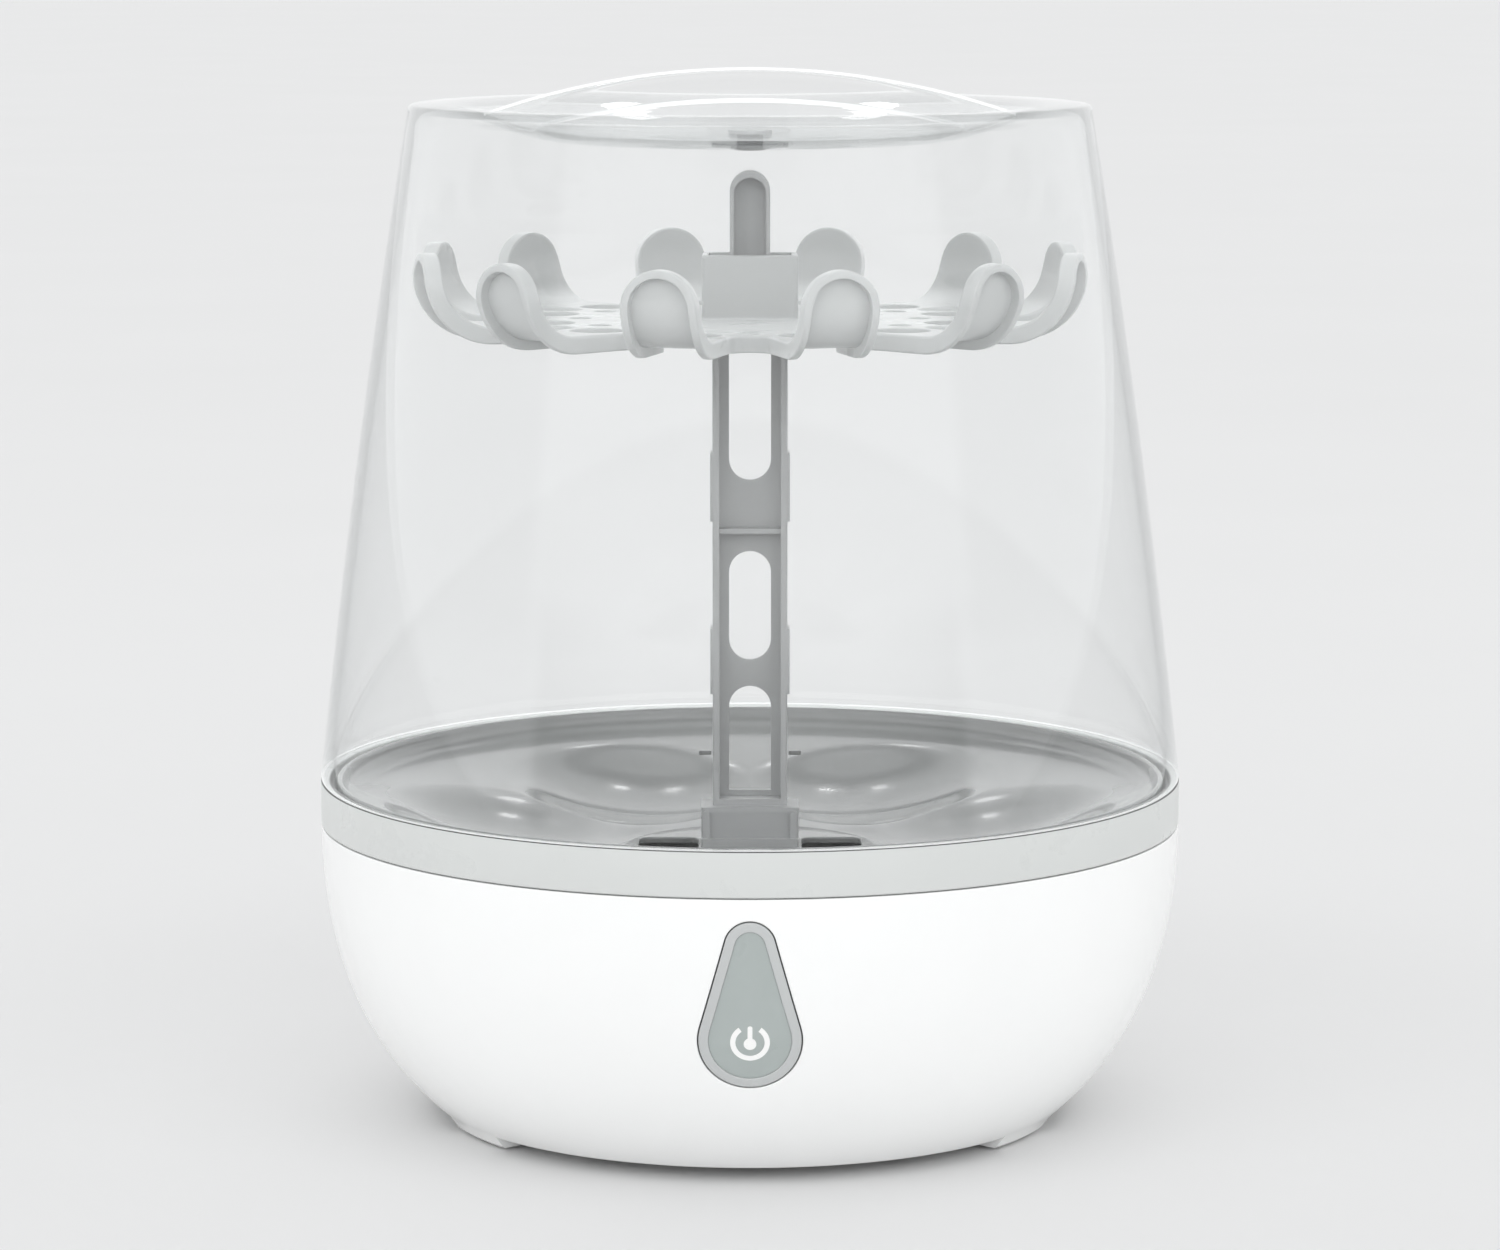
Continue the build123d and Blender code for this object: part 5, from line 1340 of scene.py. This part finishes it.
DISH = [(89.5, 305.35), (85.0, 304.5), (79.0, 302.4), (70.0, 299.3), (60.0, 297.2), (50.0, 296.4), (40.0, 296.3)]
DISH_LOW = [(40.0, 293.7), (50.0, 293.8), (60.0, 294.6), (70.0, 296.8), (78.0, 299.6), (84.0, 301.6), (88.0, 302.5)]


def lid():
    outer = [(lid_r(z), z) for z in np.linspace(104.2, 303.2, 46)]
    rim = spline([outer[-1], (101.75, 304.6), (100.9, 305.25), (99.6, 305.4)], 9)[1:]
    dish = spline(DISH, 40)
    under = spline(DISH_LOW, 34)
    inner = [(lid_in_r(z), z) for z in np.linspace(299.6, 109.0, 42)]
    foot = rounded(
        [(inner[-1][0], 109.0, 0), (125.8, 106.0, 0.5), (125.8, 100.8, 0.25), (126.9, 100.8, 0.25), (127.1, 103.25, 0.2), (129.98, 103.25, 0.42), (outer[0][0], 104.2, 0)],
        5, closed=False)
    corner = spline([under[-1], (94.5, 302.6), (97.6, 302.2), (98.75, 301.2), inner[0]], 14)[1:-1]
    profile = outer[1:] + rim + [(94.0, 305.4)] + dish + [(20.0, 296.3), (4.1, 296.3), (4.1, 293.7), (20.0, 293.7)] + under + corner + inner[:-1] + foot
    v, f = lathe(profile, 360)
    build("clear_lid", v, f, "lid", [MAT["clear_plastic"]], ["lid_wall", "lid_crown", "lid_dish"], angle=35.0)

    # arched grip, a separate piece whose legs sit down on the dish
    xs = list(np.linspace(-79.2, 79.2, 133))
    half, m_top, m_low = 3.0, 7, 5
    verts, faces = [], []
    count = None
    for x in xs:
        top = 316.1 - (240.0 - math.sqrt(240.0**2 - x * x))
        arch = 305.6 - (273.0 - math.sqrt(273.0**2 - x * x))
        foot_z = 294.9 if abs(x) < 64 else float(np.interp(abs(x), [40, 50, 60, 70, 79, 85], [295.0, 295.1, 295.9, 298.0, 301.0, 303.2]))
        low = arch if abs(x) <= 64.0 else foot_z
        rt = min(2.4, max(0.3, (top - low) * 0.4))
        rl = 1.6 if abs(x) <= 64.0 else 0.2
        rl = min(rl, max(0.1, (top - low) * 0.3))
        sec = []
        for k in range(m_top):
            a = math.pi / 2 * k / (m_top - 1)
            sec.append((half - rt + rt * math.cos(a), top - rt + rt * math.sin(a)))
        for k in range(m_top):
            a = math.pi / 2 + math.pi / 2 * k / (m_top - 1)
            sec.append((-half + rt + rt * math.cos(a), top - rt + rt * math.sin(a)))
        for k in range(m_low):
            a = math.pi + math.pi / 2 * k / (m_low - 1)
            sec.append((-half + rl + rl * math.cos(a), low + rl + rl * math.sin(a)))
        for k in range(m_low):
            a = 1.5 * math.pi + math.pi / 2 * k / (m_low - 1)
            sec.append((half - rl + rl * math.cos(a), low + rl + rl * math.sin(a)))
        count = len(sec)
        verts.append([(x, y, z) for y, z in sec])
    # one column of the section for each x
    cols = []
    for x, col in zip(xs, verts):
        cols.append(col)
    flat = [p for col in cols for p in col]
    for j in range(len(cols) - 1):
        for i in range(count):
            i2 = (i + 1) % count
            faces.append((j * count + i, (j + 1) * count + i, (j + 1) * count + i2, j * count + i2))
    faces.append(tuple(range(count)))
    last = (len(cols) - 1) * count
    faces.append(tuple(last + i for i in range(count - 1, -1, -1)))
    build("clear_grip", flat, faces, "lid", [MAT["clear_plastic_grip"]], ["lid_handle"], angle=35.0)


lid()

# ============================================================ studio
floor_size = 30.0
me = bpy.data.meshes.new("floor")
drop = -0.0002
me.from_pydata([(-floor_size, -floor_size, drop), (floor_size, -floor_size, drop), (floor_size, floor_size, drop), (-floor_size, floor_size, drop)], [], [(0, 1, 2, 3)])
floor = bpy.data.objects.new("floor", me)
SCENE.collection.objects.link(floor)
g = Graph("studio_floor")
g.put("Base Color", g.mix(g.remap(g.noise(3.0), 0.0, 1.0), (0.762, 0.762, 0.762), (0.770, 0.770, 0.770)))
g.put("Roughness", g.remap(g.noise(40.0), 0.85, 0.95))
g.put("Specular IOR Level", 0.0)
side = g.nt.nodes.new("ShaderNodeNewGeometry")
open_side = g.nt.nodes.new("ShaderNodeBsdfTransparent")
two = g.nt.nodes.new("ShaderNodeMixShader")
g.join(side.outputs["Backfacing"], two.inputs[0])
g.join(g.bsdf.outputs[0], two.inputs[1])
g.join(open_side.outputs[0], two.inputs[2])
g.join(two.outputs[0], g.out.inputs["Surface"])
me.materials.append(g.mat)

world = bpy.data.worlds.new("studio")
world.use_nodes = True
SCENE.world = world


def studio_light():
    """Soft studio surround: pale room, overhead diffuser, high front key, and a low panel at each side and behind."""
    nt = world.node_tree
    back = nt.nodes["Background"]
    where = nt.nodes.new("ShaderNodeTexCoord").outputs["Generated"]
    split = nt.nodes.new("ShaderNodeSeparateXYZ")
    nt.links.new(where, split.inputs[0])
    x, y, z = split.outputs

    def calc(op, a, b=0.0):
        n = nt.nodes.new("ShaderNodeMath")
        n.operation = op
        for i, v in enumerate((a, b)):
            if hasattr(v, "is_output"):
                nt.links.new(v, n.inputs[i])
            else:
                n.inputs[i].default_value = v
        return n.outputs[0]

    def step(v, lo, hi, a=0.0, b=1.0):
        n = nt.nodes.new("ShaderNodeMapRange")
        n.interpolation_type = "SMOOTHSTEP"
        n.inputs["From Min"].default_value = lo
        n.inputs["From Max"].default_value = hi
        n.inputs["To Min"].default_value = a
        n.inputs["To Max"].default_value = b
        nt.links.new(v, n.inputs["Value"])
        return n.outputs["Result"]

    flat = calc("SQRT", calc("ADD", calc("ADD", calc("MULTIPLY", x, x), calc("MULTIPLY", y, y)), 1e-6))
    ahead = calc("MULTIPLY", calc("DIVIDE", y, flat), -1.0)  # 1 towards the camera, -1 behind the object
    roof = calc("MULTIPLY", step(z, 0.78, 0.84), ROOF)
    face = step(ahead, 0.40, 0.56)
    key = calc("MULTIPLY", calc("MULTIPLY", face, calc("MULTIPLY", step(z, 0.42, 0.50), step(z, 0.80, 0.72))), KEY)
    low = calc("MULTIPLY", calc("MULTIPLY", face, calc("MULTIPLY", step(z, 0.50, 0.42), step(z, 0.02, 0.12))), FRONT)
    side = calc("MULTIPLY", step(ahead, 0.54, 0.46), step(ahead, -0.84, -0.78))
    side = calc("MULTIPLY", calc("MULTIPLY", side, step(z, 0.60, 0.52)), SIDES)
    rear = calc("MULTIPLY", calc("MULTIPLY", step(ahead, -0.78, -0.84), step(z, 0.78, 0.66)), REAR)
    total = calc("ADD", calc("ADD", calc("ADD", roof, key), low), calc("ADD", calc("ADD", side, rear), ROOM))
    # past the floor's horizon a low view sees a plain backdrop, not the front panel
    seen = nt.nodes.new("ShaderNodeLightPath").outputs["Is Camera Ray"]
    total = calc("ADD", calc("MULTIPLY", total, calc("SUBTRACT", 1.0, seen)), calc("MULTIPLY", seen, 0.80))
    nt.links.new(total, back.inputs["Strength"])
    back.inputs["Color"].default_value = (0.99, 0.995, 1.0, 1)


ROOM, ROOF, KEY, FRONT, SIDES, REAR = 0.30, 0.85, 0.85, 1.75, 1.10, 0.85
studio_light()


def softbox(name, place, aim, size, radiance):
    lamp = bpy.data.lights.new(name, "AREA")
    lamp.shape = "RECTANGLE"
    lamp.size, lamp.size_y = size
    lamp.energy = radiance * math.pi * size[0] * size[1]
    ob = bpy.data.objects.new(name, lamp)
    ob.location = place
    ob.rotation_euler = (Vector(aim) - Vector(place)).to_track_quat("-Z", "Y").to_euler()
    SCENE.collection.objects.link(ob)
    return ob


softbox("back_left", (-0.125, 1.35, 1.28), (0, 0.08, 0.1), (0.07, 0.08), 5.5)
softbox("back_right", (0.125, 1.35, 1.28), (0, 0.08, 0.1), (0.07, 0.08), 5.5)
softbox("overhead_left", (-0.8, 0.1, 1.7), (0, 0, 0.1), (0.08, 0.3), 2.0)
softbox("overhead_right", (0.8, 0.1, 1.7), (0, 0, 0.1), (0.08, 0.3), 2.0)

cam = bpy.data.cameras.new("camera")
cam.lens = 119.13
cam.sensor_width = 36.0
cam.sensor_fit = "HORIZONTAL"
cam.clip_start, cam.clip_end = 0.05, 100.0
view = bpy.data.objects.new("camera", cam)
view.location = (0.0, -1.48785, 0.36245)
view.rotation_euler = (math.radians(81.803), 0.0, 0.0)
SCENE.collection.objects.link(view)
SCENE.camera = view
SCENE.view_settings.view_transform = "Standard"
SCENE.view_settings.look = "None"

bpy.context.view_layer.update()
